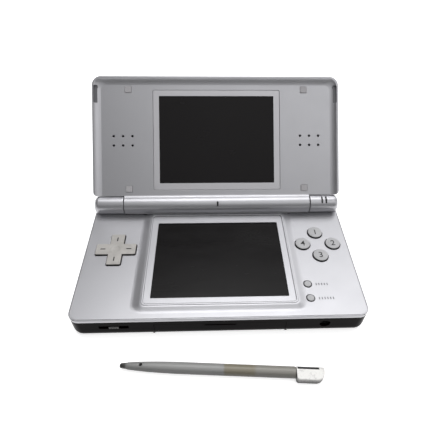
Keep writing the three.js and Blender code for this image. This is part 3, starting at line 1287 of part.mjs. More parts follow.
function makeLidFrame() {
  const body = loft([
    lidRing(FRAME_BASE, 0),
    lidRing(LID_RIM - LID_RIM_EDGE, 0),
    lidRing(LID_RIM - LID_RIM_EDGE / 3, LID_RIM_EDGE / 3),
    lidRing(LID_RIM, LID_RIM_EDGE),
  ]);
  const span = [-BARREL_HALF, BARREL_HALF];
  const neck = block(span, [0, LID_NEAR + LID_EDGE_INSET], [FRAME_BASE, LID_FACE]);
  const barrel = common(barX(BARREL_RADIUS, span, 0, 0), above(FRAME_BASE));
  const plateBody = join(cut(body, lidRecess()), neck, barrelRamp(), barrel, frameUnderside());
  addPiece('lid_frame', cut(plateBody, frameHoles(), barrelBore(), lugClearance()), 'silver', lid);
}

function makeUpperScreen() {
  const lens = plate(LENS_PLATE_X, LENS_PLATE_Y, [LENS_BASE, LID_FACE], LENS_PLATE_CORNER);
  addPiece('upper_screen_lens', lens, 'lens', lid);
  const top = LEDGE_LOW - FIT_GAP;
  const display = block(
    grown(LENS_PLATE_X, UPPER_DISPLAY_MARGIN - LENS_BORDER),
    grown([LENS_PLATE_Y[0] + LENS_NEAR_BORDER, LENS_PLATE_Y[1] - LENS_FAR_BORDER], UPPER_DISPLAY_MARGIN),
    [-LID_BACK + LID_WALL + 2 * FIT_GAP, top],
  );
  addPiece('upper_display', display, 'black', lid);
}

function makeSpeakers() {
  const top = FRAME_BASE - FIT_GAP;
  speakerPlaces().forEach((x, index) => {
    const speaker = turned([
      [0, top - SPEAKER_THICKNESS],
      [SPEAKER_RADIUS - 2 * SPEAKER_RIM, top - SPEAKER_THICKNESS],
      [SPEAKER_RADIUS - SPEAKER_RIM, top - SPEAKER_THICKNESS / 2],
      [SPEAKER_RADIUS, top - SPEAKER_THICKNESS / 2],
      [SPEAKER_RADIUS, top],
      [SPEAKER_RADIUS - SPEAKER_RIM, top],
      [SPEAKER_RADIUS / 2, top - SPEAKER_THICKNESS / 4],
      [0, top - SPEAKER_THICKNESS / 6],
    ], x, SPEAKER_CENTRE);
    addPiece(index ? 'right_speaker' : 'left_speaker', speaker, 'black', lid);
  });
}

function makeBumpers() {
  const low = LID_FACE - BUMPER_POCKET_DEPTH + POCKET_GAP;
  for (const [side, x] of Object.entries(bumperPlaces())) {
    BUMPER_ROWS.forEach((y, row) => {
      const bumper = block(about(x, BUMPER_SIZE), about(y, BUMPER_SIZE), [low, LID_FACE + BUMPER_PROUD]);
      addPiece(`${row ? 'upper' : 'lower'}_${side}_bumper`, bumper, 'rubber', lid);
    });
  }
}

function makeHingeInside() {
  const gap = FIT_GAP;
  const micTop = BARREL_BORE * Math.cos(Math.asin(MIC_RADIUS / BARREL_BORE)) - gap;
  const mic = barZ(MIC_RADIUS, 0, 0, [micTop - MIC_THICKNESS, micTop]);
  addPiece('microphone', mic, 'steel', lid);
  const outerEnd = BARREL_HALF - BARREL_END_WALL - gap;
  const span = [outerEnd - CLUTCH_LENGTH, outerEnd];
  const clutch = cut(
    barX(BARREL_BORE - gap, span, 0, 0),
    barX(PIN_BORE, [span[0] - OVERRUN, span[1] + OVERRUN], 0, 0),
  );
  addPiece('hinge_clutch', mirrored(clutch), 'steel', lid);
  addPiece('display_flex_roll', flexRoll(), 'copper', lid);
}

// A ribbon rolled up inside the barrel, as one spiral
function flexRoll() {
  const steps = Math.round(FLEX_TURNS * FLEX_STEPS_PER_TURN);
  const outerRadius = BARREL_BORE - FIT_GAP;
  const point = (step, offset) => {
    const angle = (step / FLEX_STEPS_PER_TURN) * 2 * Math.PI;
    const radius = outerRadius - offset - (FLEX_PITCH * step) / FLEX_STEPS_PER_TURN;
    return new THREE.Vector2(radius * Math.cos(angle), radius * Math.sin(angle));
  };
  const outer = Array.from({ length: steps + 1 }, (_, step) => point(step, 0));
  const inner = Array.from({ length: steps + 1 }, (_, step) => point(steps - step, FLEX_THICKNESS));
  const geometry = new THREE.ExtrudeGeometry(new THREE.Shape([...outer, ...inner]), {
    depth: FLEX_WIDTH, bevelEnabled: false,
  });
  geometry.applyMatrix4(new THREE.Matrix4().makeBasis(
    new THREE.Vector3(0, 1, 0), new THREE.Vector3(0, 0, 1), new THREE.Vector3(1, 0, 0)));
  geometry.translate(SIDE - FLEX_FROM_SIDE - FLEX_WIDTH, 0, 0);
  return toSolid(geometry);
}

// The stylus lies along X in its own frame, tip to the left, its axis at the origin
function makeStylus() {
  const tip = -STYLUS_LENGTH / 2;
  const capStart = tip + STYLUS_LENGTH - STYLUS_CAP_LENGTH;
  // Shares along the taper and of the full radius
  const shares = [[0.03, 0.46], [0.14, 0.6], [0.33, 0.76], [0.62, 0.91], [1, 1]];
  const taper = shares.map(([along, size]) =>
    new THREE.Vector2(STYLUS_RADIUS * size, tip + STYLUS_TAPER_LENGTH * along));
  const profile = [
    new THREE.Vector2(0, tip),
    new THREE.Vector2(STYLUS_RADIUS * STYLUS_TIP_SHARE, tip + (STYLUS_RADIUS * STYLUS_TIP_SHARE) / 3),
    ...taper,
    new THREE.Vector2(STYLUS_RADIUS, capStart - FIT_GAP),
    new THREE.Vector2(0, capStart - FIT_GAP),
  ];
  const geometry = new THREE.LatheGeometry(profile, SMALL_SIDES);
  geometry.rotateZ(-Math.PI / 2);
  const pinHole = barZ(
    STYLUS_PIN_HOLE_RADIUS, tip + STYLUS_PIN_HOLE_FROM_TIP, 0, [0, STYLUS_RADIUS + OVERRUN], SMALL_SIDES / 2);
  addPiece('stylus_shaft', cut(toSolid(geometry), pinHole), 'stylus', stylus);
  addPiece('stylus_cap', stylusCap(capStart), 'stylusCap', stylus);
}

function stylusCap(start) {
  const end = start + STYLUS_CAP_LENGTH;
  const back = STYLUS_RADIUS;
  const front = back - STYLUS_CAP_WIDTH;
  const outline = new THREE.Shape();
  outline.moveTo(start, back);
  outline.lineTo(start, front + STYLUS_CAP_SMALL_CORNER);
  outline.quadraticCurveTo(start, front, start + STYLUS_CAP_SMALL_CORNER, front);
  outline.lineTo(end - STYLUS_CAP_CORNER, front);
  outline.quadraticCurveTo(end, front, end, front + STYLUS_CAP_CORNER);
  outline.lineTo(end, back - STYLUS_CAP_SMALL_CORNER);
  outline.quadraticCurveTo(end, back, end - STYLUS_CAP_SMALL_CORNER, back);
  const geometry = new THREE.ExtrudeGeometry(outline, {
    depth: 2 * STYLUS_RADIUS, bevelEnabled: false, curveSegments: CORNER_STEPS,
  });
  geometry.translate(0, 0, -STYLUS_RADIUS);
  const groove = block(
    [start + STYLUS_CAP_SMALL_CORNER, end - 2 * STYLUS_CAP_SMALL_CORNER],
    [back - 2 * STYLUS_CAP_GROOVE, back - STYLUS_CAP_GROOVE],
    [STYLUS_RADIUS - STYLUS_CAP_GROOVE, STYLUS_RADIUS + OVERRUN],
  );
  return cut(toSolid(geometry), groove);
}

makeLowerCase();
makeControlPanel();
makeIndicatorLenses();
makeLowerScreen();
makeDirectionPad();
makeKeys();
makeMembranes();
makeMainBoard();
makeBattery();
makeCartridgeConnector();
makeSlotCover();
makeCardSocket();
makeStylusChannel();
makeSockets();
makeSliders();
makeShoulderButtons();
makeCaseScrews();
makeHingePins();
makeLidShell();
makeLidFrame();
makeUpperScreen();
makeSpeakers();
makeBumpers();
makeHingeInside();
makeStylus();

export default group;
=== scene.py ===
"""Clamshell handheld console with its stylus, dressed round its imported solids.

All lengths are in metres. The base lies flat with its hinge at the rear, +X is the player's right,
and the lid's pieces are modelled flat, running back from the hinge axis, and then turned to its angle.
"""

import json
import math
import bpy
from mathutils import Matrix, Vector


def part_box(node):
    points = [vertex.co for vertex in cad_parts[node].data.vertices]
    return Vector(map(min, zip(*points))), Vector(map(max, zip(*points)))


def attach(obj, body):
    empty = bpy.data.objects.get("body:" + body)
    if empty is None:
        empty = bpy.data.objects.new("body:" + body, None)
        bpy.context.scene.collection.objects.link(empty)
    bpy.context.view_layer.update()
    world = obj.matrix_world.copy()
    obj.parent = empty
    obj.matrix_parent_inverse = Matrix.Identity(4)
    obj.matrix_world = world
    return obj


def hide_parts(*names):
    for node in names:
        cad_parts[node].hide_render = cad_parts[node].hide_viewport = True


bl_info = {
    "name": "Clamshell handheld console",
    "version": (1, 0, 0),
    "blender": (4, 5, 0),
    "location": "View3D > Sidebar > Console",
    "description": "Builds the pieces of a clamshell handheld console round its solids",
    "category": "Object",
}

import bpy
from bpy.props import FloatProperty, FloatVectorProperty, IntProperty, PointerProperty
from mathutils import Matrix, Vector

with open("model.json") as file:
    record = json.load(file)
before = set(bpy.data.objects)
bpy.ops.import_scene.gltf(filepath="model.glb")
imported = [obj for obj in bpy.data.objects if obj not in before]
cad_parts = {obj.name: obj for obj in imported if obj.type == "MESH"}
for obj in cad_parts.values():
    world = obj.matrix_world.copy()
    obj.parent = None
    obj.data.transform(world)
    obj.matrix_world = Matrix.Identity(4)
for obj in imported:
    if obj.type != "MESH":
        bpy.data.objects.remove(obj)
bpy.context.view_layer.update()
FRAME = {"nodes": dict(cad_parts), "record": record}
MM = 0.001
SHARP_ANGLE = math.radians(32)  # past which an edge isn't shaded smooth


def box_span(node, axis):
    """The lowest and highest place of a solid along one axis."""
    low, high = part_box(node)
    return [low[axis], high[axis]]


def box_middle(node):
    """The middle of a solid's box."""
    low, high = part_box(node)
    return (low + high) / 2


def across(half):
    """A span from side to side of the middle."""
    return [-half, half]


def about(middle, size):
    """A span of this size about a middle."""
    return [middle - size / 2, middle + size / 2]


def grown(span, by):
    """A span with both ends moved outwards."""
    return [span[0] - by, span[1] + by]


# Base
SIDE = box_span("lower_case", 0)[1]
SIDES = across(SIDE)
FRONT, REAR = box_span("lower_case", 1)
SEAM = box_span("lower_case", 2)[1]
PANEL_THICKNESS = 1 * MM
PANEL_TOP = SEAM + PANEL_THICKNESS
CORNER_RADIUS = 5 * MM
CASE_WALL = 1.2 * MM
FLOOR = 1 * MM
EDGE_RISE = 4 * MM
EDGE_INSET = 2 * MM
SEAM_CHAMFER = 0.12 * MM
PANEL_EDGE = 0.35 * MM
SKIRT_DROP = 0.7 * MM  # how far the panel's edge hangs over the lower case
SKIRT_WALL = 0.4 * MM
FIT_GAP = 0.3 * MM
POCKET_GAP = 0.15 * MM
KEY_GAP = 0.28 * MM
OVERRUN = 2 * MM
RIM_LINE_INSET = 0.45 * MM
LIP_WALL = 0.9 * MM
LIP_DEPTH = 1 * MM
MOUTH_ROUND = 0.14 * MM

# Plateau round the lower screen
PLATEAU_X = across(SIDE - 31.1 * MM)
PLATEAU_START = 6.6 * MM
PLATEAU_CORNER = 2 * MM
PLATEAU_EDGE = 0.3 * MM
FLANK_RUN = 5 * MM
FRONT_RUN = 3.6 * MM
FLANK_CORNER = 5 * MM
FLANK_CURVE = [(0, 1), (0.12, 0.72), (0.5, 0.42), (0.88, 0.16), (1, 0)]  # shares of the rise and of the run
BEZEL_MARGIN = 0.8 * MM
BEZEL_X = grown(PLATEAU_X, -BEZEL_MARGIN)
BEZEL_Y = [FRONT + PLATEAU_START + BEZEL_MARGIN, REAR - 10.9 * MM]
BEZEL_CORNER = 1.6 * MM
BEZEL_STEP = 0.3 * MM
BEZEL_GROOVE = 0.3 * MM
LEDGE = 0.5 * MM
BEZEL_SIDE = 3.15 * MM
BEZEL_FRONT = 3.1 * MM
BEZEL_REAR = 5.4 * MM
WINDOW_CORNER = 0.35 * MM
GLASS_MARGIN = 1.6 * MM

# Hinge
HINGE_Y = box_middle("hinge_shaft").y
HINGE_Z = box_middle("hinge_shaft").z
HINGE = (0, HINGE_Y, HINGE_Z)
AXIS = (0, 0, 0)  # where the hinge axis runs in the lid's own frame, and the stylus's in its own
LID_ANGLE = math.radians(135)
BARREL_RADIUS = 4.8 * MM
BARREL_SIDES = 96
LID_BACK = 4.95 * MM
LUG_INNER = SIDE - 16.05 * MM
LUG_OUTER = SIDE - 0.5 * MM
LUG_END_RADIUS = 2.4 * MM
LUG_FOOT_SETBACK = 2.35 * MM
LUG_EDGE = 0.25 * MM
LUG_GAP_REACH = 2.5 * FIT_GAP  # how far out from the barrel the faces beside a lug are painted dark, as shade
BARREL_HALF = LUG_INNER - FIT_GAP
BARREL_X = across(BARREL_HALF)
BARREL_BORE = 3.6 * MM
BARREL_END_WALL = 1.5 * MM
PIN_BORE = 2.8 * MM
PIN_IN_LUG = 10 * MM
TROUGH_RADIUS = 5.3 * MM
TROUGH_WALL = 1 * MM
TROUGH_X = across(LUG_INNER)
TROUGH_FLOOR = HINGE_Z - TROUGH_RADIUS - TROUGH_WALL
LENS_LOW = 3.5 * MM
LENS_LENGTH = 4 * MM
LENS_RECESS = 0.1 * MM
LENS_TURN = math.radians(21)
LENS_CORNER_SMALL = 0.35 * MM
LENS_NODES = ["power_indicator_lens", "charge_indicator_lens"]

# Direction pad and keys
PAD_MIDDLE = box_middle("direction_pad")
PAD_SPAN = 19.8 * MM
PAD_ARM = 6.9 * MM
PAD_CORNER = 0.7 * MM
PAD_EDGE = 0.4 * MM
PAD_TOP = box_span("direction_pad", 2)[1]
PAD_ARM_LOW = SEAM - 0.7 * MM
PAD_DISC_RADIUS = 8 * MM
PAD_DISC_LOW = box_span("direction_pad", 2)[0]
PAD_DISC_THICKNESS = 0.3 * MM
PAD_DISH_RADIUS = 7.5 * MM
PAD_DISH_DEPTH = 0.35 * MM
PAD_DISH_STEPS = 64
PAD_TICK_LENGTH = 2.6 * MM
PAD_TICK_WIDTH = 0.55 * MM
PAD_TICK_CORNER = 0.45 * PAD_TICK_WIDTH
PAD_TICK_DEPTH = 0.25 * MM
PAD_TICK_FROM_MIDDLE = 6.4 * MM
ARMS = ((1, 0), (-1, 0), (0, 1), (0, -1))
FACE_BUTTONS = ["upper", "right", "lower", "left"]
KEY_FLANGE = 0.75 * MM
KEY_FLANGE_THICKNESS = 0.35 * MM
KEY_CROWN = 0.07 * MM
CROWN_STEPS = 5
SIDE_SHADE_SHARE = 0.05  # of a key's colour that is left on its sides, where painted shade darkens them
SIDE_SHADE_SLOPES = [0.3, 0.85]  # how far up a face looks where the painted shade on its sides ends
MARK_LIFT = 0.02 * MM
MARK_THICKNESS = 0.12 * MM
MARK_WEIGHT = 0.03 * MM
FIGURE_SHARE = 0.7  # of the font's size that a figure's height takes
TICK_SIZE = [0.45 * MM, 1.3 * MM]  # width and height
TICK_PITCH = 1.3 * MM
TICKS_FROM_KEY = 4 * MM
TICKS_LOWER = 0.2 * MM
SMALL_BUTTON_TICKS = {"start_button": 5, "select_button": 6}

# Lid, from the hinge axis along the lid and up from it
LID_LENGTH = REAR - FRONT - 5 * MM
LID_NEAR = 4.55 * MM
LID_FACE = 2.35 * MM
LID_RIM = 3.65 * MM
LID_SEAM = 0.9 * MM
LID_WALL = 1.2 * MM
LID_NEAR_CORNER = 2.4 * MM
LID_EDGE_RISE = 2.2 * MM
LID_EDGE_INSET = 1.9 * MM
LID_RIM_WIDTH = 1.1 * MM
LID_RIM_EDGE = 0.4 * MM
LID_SLOPE = 3.5 * MM
LID_RECESS_CORNER = 3 * MM
LID_LIP_DEPTH = 1.4 * MM
LID_LIP_WALL = 0.8 * MM
SLOPE_CURVE = [(0, 0), (0.2, 0.35), (0.6, 0.75), (1, 1)]  # shares of the rise and of the run
RAMP_END = 5.3 * MM
RAMP_TOUCH = math.radians(43)
RAMP_STEPS = 16
NOTCH_FROM_END = 5 * MM
NOTCH_LENGTH = 9.2 * MM
NOTCH_Y = [LID_LENGTH - NOTCH_FROM_END - NOTCH_LENGTH, LID_LENGTH - NOTCH_FROM_END]
NOTCH_FROM_SIDE = 0.9 * MM
NOTCH_WIDTH = 1.9 * MM
NOTCH_DEPTH = 1 * MM
NOTCH_CORNER = 0.3 * MM
FRAME_LOW = LID_SEAM + FIT_GAP
LENS_X = across(SIDE - 32.3 * MM)
LENS_Y = [7.9 * MM, LID_LENGTH - 7.3 * MM]
LENS_CORNER = 0.8 * MM
LENS_EDGE = 0.1 * MM
LENS_THICKNESS = 0.9 * MM
LENS_BASE = LID_FACE - LENS_THICKNESS
LENS_LEDGE_WIDTH = 1.9 * MM
LENS_LEDGE_THICKNESS = 0.8 * MM
LENS_LEDGE_LOW = LENS_BASE - FIT_GAP - LENS_LEDGE_THICKNESS
LENS_BORDER = 3.15 * MM
LENS_NEAR_BORDER = 3.55 * MM
LENS_FAR_BORDER = 3.05 * MM
SPEAKER_X = SIDE - 16 * MM
SPEAKER_Y = LID_LENGTH / 2
MIC_SLOT = [1 * MM, 2.7 * MM]  # along X and along Y
MIC_CORNERS = [0.45 * MM, 0.4 * MM]  # of the slot and of the mesh in it
BUMPER_X = SIDE - 19 * MM
BUMPER_Y = [8.5 * MM, LID_LENGTH - 6.9 * MM]
BUMPER_POCKET_DEPTH = 0.8 * MM
BUMPER_POCKET_CORNER = 0.4 * MM
BUMPER_PROUD = 0.3 * MM
BUMPER_CORNER = 0.35 * MM
BUMPER_EDGE = 0.15 * MM

# Stylus, along X from the middle of its length
STYLUS_LENGTH = 2 * SIDE - 47 * MM
STYLUS_RADIUS = 2.45 * MM
STYLUS_CAP_LENGTH = 11.7 * MM
STYLUS_CAP_WIDTH = 6.4 * MM
STYLUS_CAP_CORNER = 3.6 * MM
STYLUS_CAP_SMALL_CORNER = 0.9 * MM
STYLUS_CAP_EDGE = 1.5 * MM
STYLUS_CAP_TOP_EDGE = 0.4 * MM
STYLUS_INLAY_FROM_AXIS = 0.6 * MM
STYLUS_INLAY_LOW = 1.4 * MM
STYLUS_INLAY_SHORT = 2.2 * MM
STYLUS_TIP_RADIUS = 1.05 * MM
STYLUS_NOSE_SHARE = 0.8  # how long the rounded nose is, as a share of its radius
STYLUS_NIB_LENGTH = 3 * MM
STYLUS_NIB_STEP = 0.14 * MM
STYLUS_TAPER_LENGTH = 24 * MM
STYLUS_TAPER = [(0.125, 0.59), (0.33, 0.76), (0.62, 0.91), (1, 1)]  # shares of its length and of the radius
STYLUS_HOLE_RADIUS = 0.75 * MM
STYLUS_HOLE_FROM_TIP = 9.1 * MM
STYLUS_BAND = [1.5 * MM, 13.2 * MM]
BAND_UNEVEN = 0.8 * MM
BAND_LEFT = 0.45  # share of the stain's colour that is left beyond the band
STYLUS_FADES = [0.008, 0.01, 0.02]  # shares of its length over which nib, band and tail fade in
# Heights above the stylus's axis, from the lower side of the shaft, darkened by painted shade, to its upper
# one
UNDERSIDE_SHADE_HEIGHTS = [0.1 * STYLUS_RADIUS, 0.9 * STYLUS_RADIUS]
CAP_HEIGHTS = [-0.1 * STYLUS_RADIUS, 0.9 * STYLUS_RADIUS]  # between which the painted shade on the cap's lower side thins out
STYLUS_MIDDLE = (0.0, FRONT - 18.25 * MM, STYLUS_RADIUS)
STYLUS_TURN = math.radians(-3.79)

LID_PLACE = Matrix.Translation(HINGE) @ Matrix.Rotation(math.pi - LID_ANGLE, 4, "X")
STYLUS_PLACE = Matrix.Translation(STYLUS_MIDDLE) @ Matrix.Rotation(STYLUS_TURN, 4, "Z")

# Openings in the lower case, as in the solids that fill them
CART_X = across(SIDE - 37 * MM)
CART_Z = box_span("cartridge_connector", 2)
CART_DEPTH = 24.9 * MM
CART_RIB = 1 * MM
CARD_X = box_span("card_socket", 0)
CARD_Z = box_span("card_socket", 2)
CARD_WALL = 1 * MM
CARD_PLATE = 0.6 * MM
CHANNEL_WALL = 0.8 * MM
CHANNEL_Z = box_span("stylus_channel", 2)
CHANNEL_Y = box_span("stylus_channel", 1)
KNOB_LENGTH = 4.4 * MM
KNOB_HEIGHT = 1.6 * MM
KNOB_PROUD = 0.3 * MM
KNOB_PLATE = 1.4 * MM
KNOB_RIDGE_DEPTH = 0.25 * MM
KNOB_RIDGES = 3
KNOB_CORNER = 0.35 * MM
KNOB_EDGE = 0.15 * MM
KNOB_PLATE_RISE = 0.8 * MM
POWER_TRAVEL = 2.5 * MM
VOLUME_TRAVEL = 8 * MM
JACK_BORE = 2.4 * MM
CHARGE_SLOT = [7.3 * MM, 2.5 * MM]  # width and height
SHOULDER_INNER = SIDE - 15.3 * MM
SHOULDER_START = REAR - 5.6 * MM
SHOULDER_Z = box_span("right_shoulder_button", 2)
SHOULDER_WALL = 2.2 * MM
SHOULDER_TRAVEL_GAP = 1 * MM
SHOULDER_KNUCKLE_RADIUS = 2.6 * MM
SHOULDER_KNUCKLE_HEIGHT = 2 * MM
SHOULDER_BOSS_RADIUS = 1.8 * MM
SHOULDER_PIN_RADIUS = 0.75 * MM
SHOULDER_EDGE = 0.25 * MM
SHOULDER_EDGE_ANGLE = math.radians(50)
SPRING_TURNS = 5
SPRING_WIRE = 0.42 * MM
SPRING_WIRE_CORNER = 0.2 * MM
COVER_TAB = 1.2 * MM
COVER_CORNER = 1.5 * MM
SCREW_X = SIDE - 7 * MM
SCREW_Y = [FRONT + 7 * MM, REAR - 15 * MM]
SCREW_HEAD_RADIUS = 1.9 * MM
SCREW_HEAD_HEIGHT = 1.1 * MM
SCREW_SHANK_RADIUS = 1 * MM
SCREW_RECESS = 4.4 * MM
BOSS_WALL = 0.8 * MM
BOSS_WEB = 1.5 * MM
THREAD_STEPS = 12
THREAD_SHARE = 0.82  # of the shank's radius at the foot of its thread
CROSS = [2.2 * MM, 0.5 * MM, 0.6 * MM]  # length, width and depth
BLANK_CORNER = 0.3 * MM
BLANK_SETBACK = 0.7 * MM
BLANK_DEPTH = 8 * MM
BLANK_WALL = 1 * MM
BLANK_PULL = [14 * MM, 0.9 * MM, 0.5 * MM]  # length, height and depth
TOUCH_EDGE = 0.12 * MM

# The sky over the object: pale walls all round, a plain level above them, and soft boxes in it,
# with the strengths that the photograph's light asks for
SKY_LEVEL = 0.01
WALL_LEVEL = 0.6
WALL_ENDS = [0.2, 0.7]  # heights in the sky, as sines, between which the walls fade out
FRONT_WALL = 0.3  # share of the walls' light that the front one has
FRONT_WALL_ENDS = [-0.8, -0.2]  # directions along Y, as cosines, over which it goes back to the whole
RIGHT_WALL = 1.7
RIGHT_WALL_ENDS = [0.2, 0.9]
SOFT_BOXES = [  # where each stands, how narrow it is and how bright
    ((0.47, 0.47, 0.74), 24.0, 2.6), ((0.5, -0.4, 0.74), 24.0, 1.8), ((0.0, 0.3, 0.95), 24.0, 0.9),
    ((0.0, 0.67, 0.74), 24.0, 0.5), ((0.0, -0.3, 0.95), 24.0, 1.2), ((0.0, -0.67, 0.74), 24.0, 0.7)]
FLOOR_GLOW = 0.65  # of white that the camera sees the floor give out
FLOOR_BOUNCE = 0.15  # share of its light that the floor throws back on the object
FLOOR_REACH = 3
FLOOR_THICKNESS = 0.01
KEY_LAMP_FROM = (0.0, 0.29, 0.96)
KEY_LAMP_SPREAD = math.radians(40)

CAMERA_PLACE = Vector((-3.975, -127.589, 163.835)) * MM
CAMERA_YAW = math.radians(3.142)
CAMERA_PITCH = math.radians(45.484)
CAMERA_ROLL = math.radians(-1.61)
CAMERA_LENS = 31.77
CAMERA_SENSOR = 36
CAMERA_CLIP = 0.01
CAMERA_SHIFT = -0.00482


def paint(red, green, blue):
    """A colour as read off a picture, as the linear values that a shader takes."""
    def linear(value):
        share = value / 255
        return share / 12.92 if share <= 0.04045 else ((share + 0.055) / 1.055) ** 2.4
    return (linear(red), linear(green), linear(blue))


def length(name, description, default):
    """A setting in metres."""
    return FloatProperty(
        name=name, description=description, default=default, min=0, precision=5, unit="LENGTH")


def amount(name, description, default):
    """A setting that is a whole number from 1 up."""
    return IntProperty(name=name, description=description, default=default, min=1)


def strength(name, description):
    """A setting for how strong a light is."""
    return FloatProperty(name=name, description=description, default=1.0, min=0)


def colour(name, description, default):
    """A setting that is a colour, in linear values."""
    return FloatVectorProperty(
        name=name, description=description, default=default, min=0, max=1, size=3, subtype="COLOR")


class CONSOLE_PG_sizes(bpy.types.PropertyGroup):
    """Sizes of the console's rounded edges, holes and keys"""

    plateau_rise: length("Plateau Rise", "Height of the plateau above the panel", 1.25 * MM)
    rim_line_width: length("Rim Line Width", "Width of the line let into the panel's edge", 0.25 * MM)
    rim_line_depth: length("Rim Line Depth", "Depth of the line let into the panel's edge", 0.25 * MM)
    key_radius: length("Key Radius", "Radius of a face button", 3.75 * MM)
    key_edge: length("Key Edge", "Rounding of a face button's top edge", 0.45 * MM)
    small_key_radius: length("Small Key Radius", "Radius of the start and select buttons", 1.75 * MM)
    mark_height: length("Mark Height", "Height of the numeral printed on a face button", 3.3 * MM)
    speaker_hole_radius: length("Speaker Hole Radius", "Radius of one speaker hole", 0.65 * MM)
    speaker_hole_pitch: length("Speaker Hole Pitch", "Spacing of the speaker holes", 5 * MM)
    bumper_size: length("Bumper Size", "Side of a square rubber bumper", 3.4 * MM)
    speaker_columns: amount("Speaker Columns", "Speaker holes across", 3)
    speaker_rows: amount("Speaker Rows", "Speaker holes along the lid", 2)


class CONSOLE_PG_colours(bpy.types.PropertyGroup):
    """Colours of the console's finishes"""

    silver: colour("Silver", "Paint of the panel and the lid", paint(180, 180, 184))
    # The lower case's near-black colour is painted shade: it stands in for the shade on its walls.
    dark_case: colour("Dark Case", "Moulding of the lower case", paint(12, 7, 8))
    keys: colour("Keys", "Face buttons and small buttons", paint(187, 187, 189))
    pad: colour("Direction Pad", "Moulding of the direction pad", paint(183, 180, 176))
    sliders: colour("Sliders", "Knobs of the power and volume sliders", paint(34, 32, 32))
    marks: colour("Marks", "Print on and beside the keys", paint(112, 112, 116))
    screen: colour("Screen", "Touch screen, switched off", paint(15, 13, 14))
    upper_screen: colour("Upper Screen", "Screen in the lid, switched off", paint(27, 25, 26))
    lenses: colour("Indicator Lenses", "Indicator lenses, unlit", paint(42, 42, 44))
    bumpers: colour("Bumpers", "Rubber bumpers on the lid's face", paint(188, 186, 189))
    stylus: colour("Stylus", "Shaft of the stylus", paint(155, 155, 154))
    band: colour("Stylus Band", "Stain where the stylus is held", paint(136, 130, 114))
    stylus_cap: colour("Stylus Cap", "Cap of the stylus", paint(252, 251, 248))
    floor: colour("Floor", "Floor under the console", (0.97, 0.97, 0.97))


class CONSOLE_PG_stage(bpy.types.PropertyGroup):
    """Strength of the studio's light"""

    sky: strength("Sky", "Strength of the light all round")
    key_lamp: strength("Key Lamp", "Strength of the soft sun above and a little behind")


# Meshes


def shown(name, data):
    """A new object in the scene with this mesh, text, lamp or camera."""
    item = bpy.data.objects.new(name, data)
    bpy.context.scene.collection.objects.link(item)
    return item


def solid(points, faces):
    """A new object with this mesh."""
    mesh = bpy.data.meshes.new("Shape")
    mesh.from_pydata(points, [], faces)
    return shown("Shape", mesh)


def round_corners(corners, z, steps):
    """Points round four corners, each with its radius, from the one with the lowest X and Y."""
    low_x, low_y, _ = corners[0]
    points = []
    for turn, (x, y, radius) in enumerate(corners):
        middle_x = x + (radius if x == low_x else -radius)
        middle_y = y + (radius if y == low_y else -radius)
        for step in range(steps + 1):
            angle = math.pi + (turn + step / steps) * math.pi / 2
            points.append((middle_x + radius * math.cos(angle), middle_y + radius * math.sin(angle), z))
    return points


def ring(x, y, z, radius, near=None, steps=14):
    """The outline of a rounded rectangle at one height. near is the radius of the low-Y pair of corners."""
    near = radius if near is None else near
    corners = [(x[0], y[0], near), (x[1], y[0], near), (x[1], y[1], radius), (x[0], y[1], radius)]
    return round_corners(corners, z, steps)


def loft(rings):
    """A closed solid through rings of points at rising heights."""
    count = len(rings[0])
    faces = [tuple(reversed(range(count)))]
    for level in range(len(rings) - 1):
        for i in range(count):
            a, b = level * count + i, level * count + (i + 1) % count
            faces.append((a, b, b + count, a + count))
    faces.append(tuple(range((len(rings) - 1) * count, len(rings) * count)))
    return solid([point for points in rings for point in points], faces)


def round_top(height, radius, steps):
    """Heights and insets up a quarter circle that ends at this height."""
    return [(height - radius * (1 - math.sin(a)), radius * (1 - math.cos(a))) for a in quarter(steps)]


def round_foot(height, rise, reach, steps):
    """Heights and insets up a quarter of an ellipse that starts at this height."""
    return [(height + rise * (1 - math.cos(a)), reach * (1 - math.sin(a))) for a in quarter(steps)]


def mouth_edge(top):
    """Heights, and reaches outwards, of the rounding where an opening meets the surface."""
    return [(top - MOUTH_ROUND + MOUTH_ROUND * math.sin(a), MOUTH_ROUND * (1 - math.cos(a)))
            for a in quarter(4)]


def plate(x, y, z, radius, top=0.0, steps=8, edge_steps=4):
    """A plate with round corners, and with a round edge at its top."""
    levels = [(z[0], 0), *(round_top(z[1], top, edge_steps) if top else [(z[1], 0)])]
    return loft([
        ring(grown(x, -inset), grown(y, -inset), height, max(radius - inset, radius / 4), steps=steps)
        for height, inset in levels])


def quarter(steps):
    """Angles from 0 to a right angle."""
    return [math.pi / 2 * step / steps for step in range(steps + 1)]


def block(x, y, z):
    """A block between two corners."""
    return loft([[(x[0], y[0], h), (x[1], y[0], h), (x[1], y[1], h), (x[0], y[1], h)] for h in z])


def mouth(x, y, span, radius, top, steps=8):
    """A tool for a rounded opening whose edge at the surface is rounded over."""
    levels = [(span[0], 0), *mouth_edge(top), (span[1], MOUTH_ROUND)]
    return loft([ring(grown(x, out), grown(y, out), height, radius + out, steps=steps)
                 for height, out in levels])


def turned(profile, at=(0, 0, 0), axis="Z", sides=48):
    """A turned piece from (radius, height) points, on an axis through a place."""
    points, rows = [], []
    for radius, height in profile:
        if radius == 0:
            rows.append([len(points)] * sides)
            points.append((0, 0, height))
            continue
        rows.append(list(range(len(points), len(points) + sides)))
        points += [
            (radius * math.cos(2 * math.pi * i / sides), radius * math.sin(2 * math.pi * i / sides), height)
            for i in range(sides)]
    faces = []
    for low, high in zip(rows, rows[1:]):
        for i in range(sides):
            j = (i + 1) % sides
            corners = [low[i], low[j], high[j], high[i]]
            faces.append(tuple(dict.fromkeys(corners)))
    shape = solid(points, [face for face in faces if len(face) > 2])
    turns = {"X": Matrix.Rotation(math.pi / 2, 4, "Y"), "Y": Matrix.Rotation(-math.pi / 2, 4, "X"),
             "Z": Matrix.Identity(4)}
    shape.data.transform(Matrix.Translation(at) @ turns[axis])
    return shape


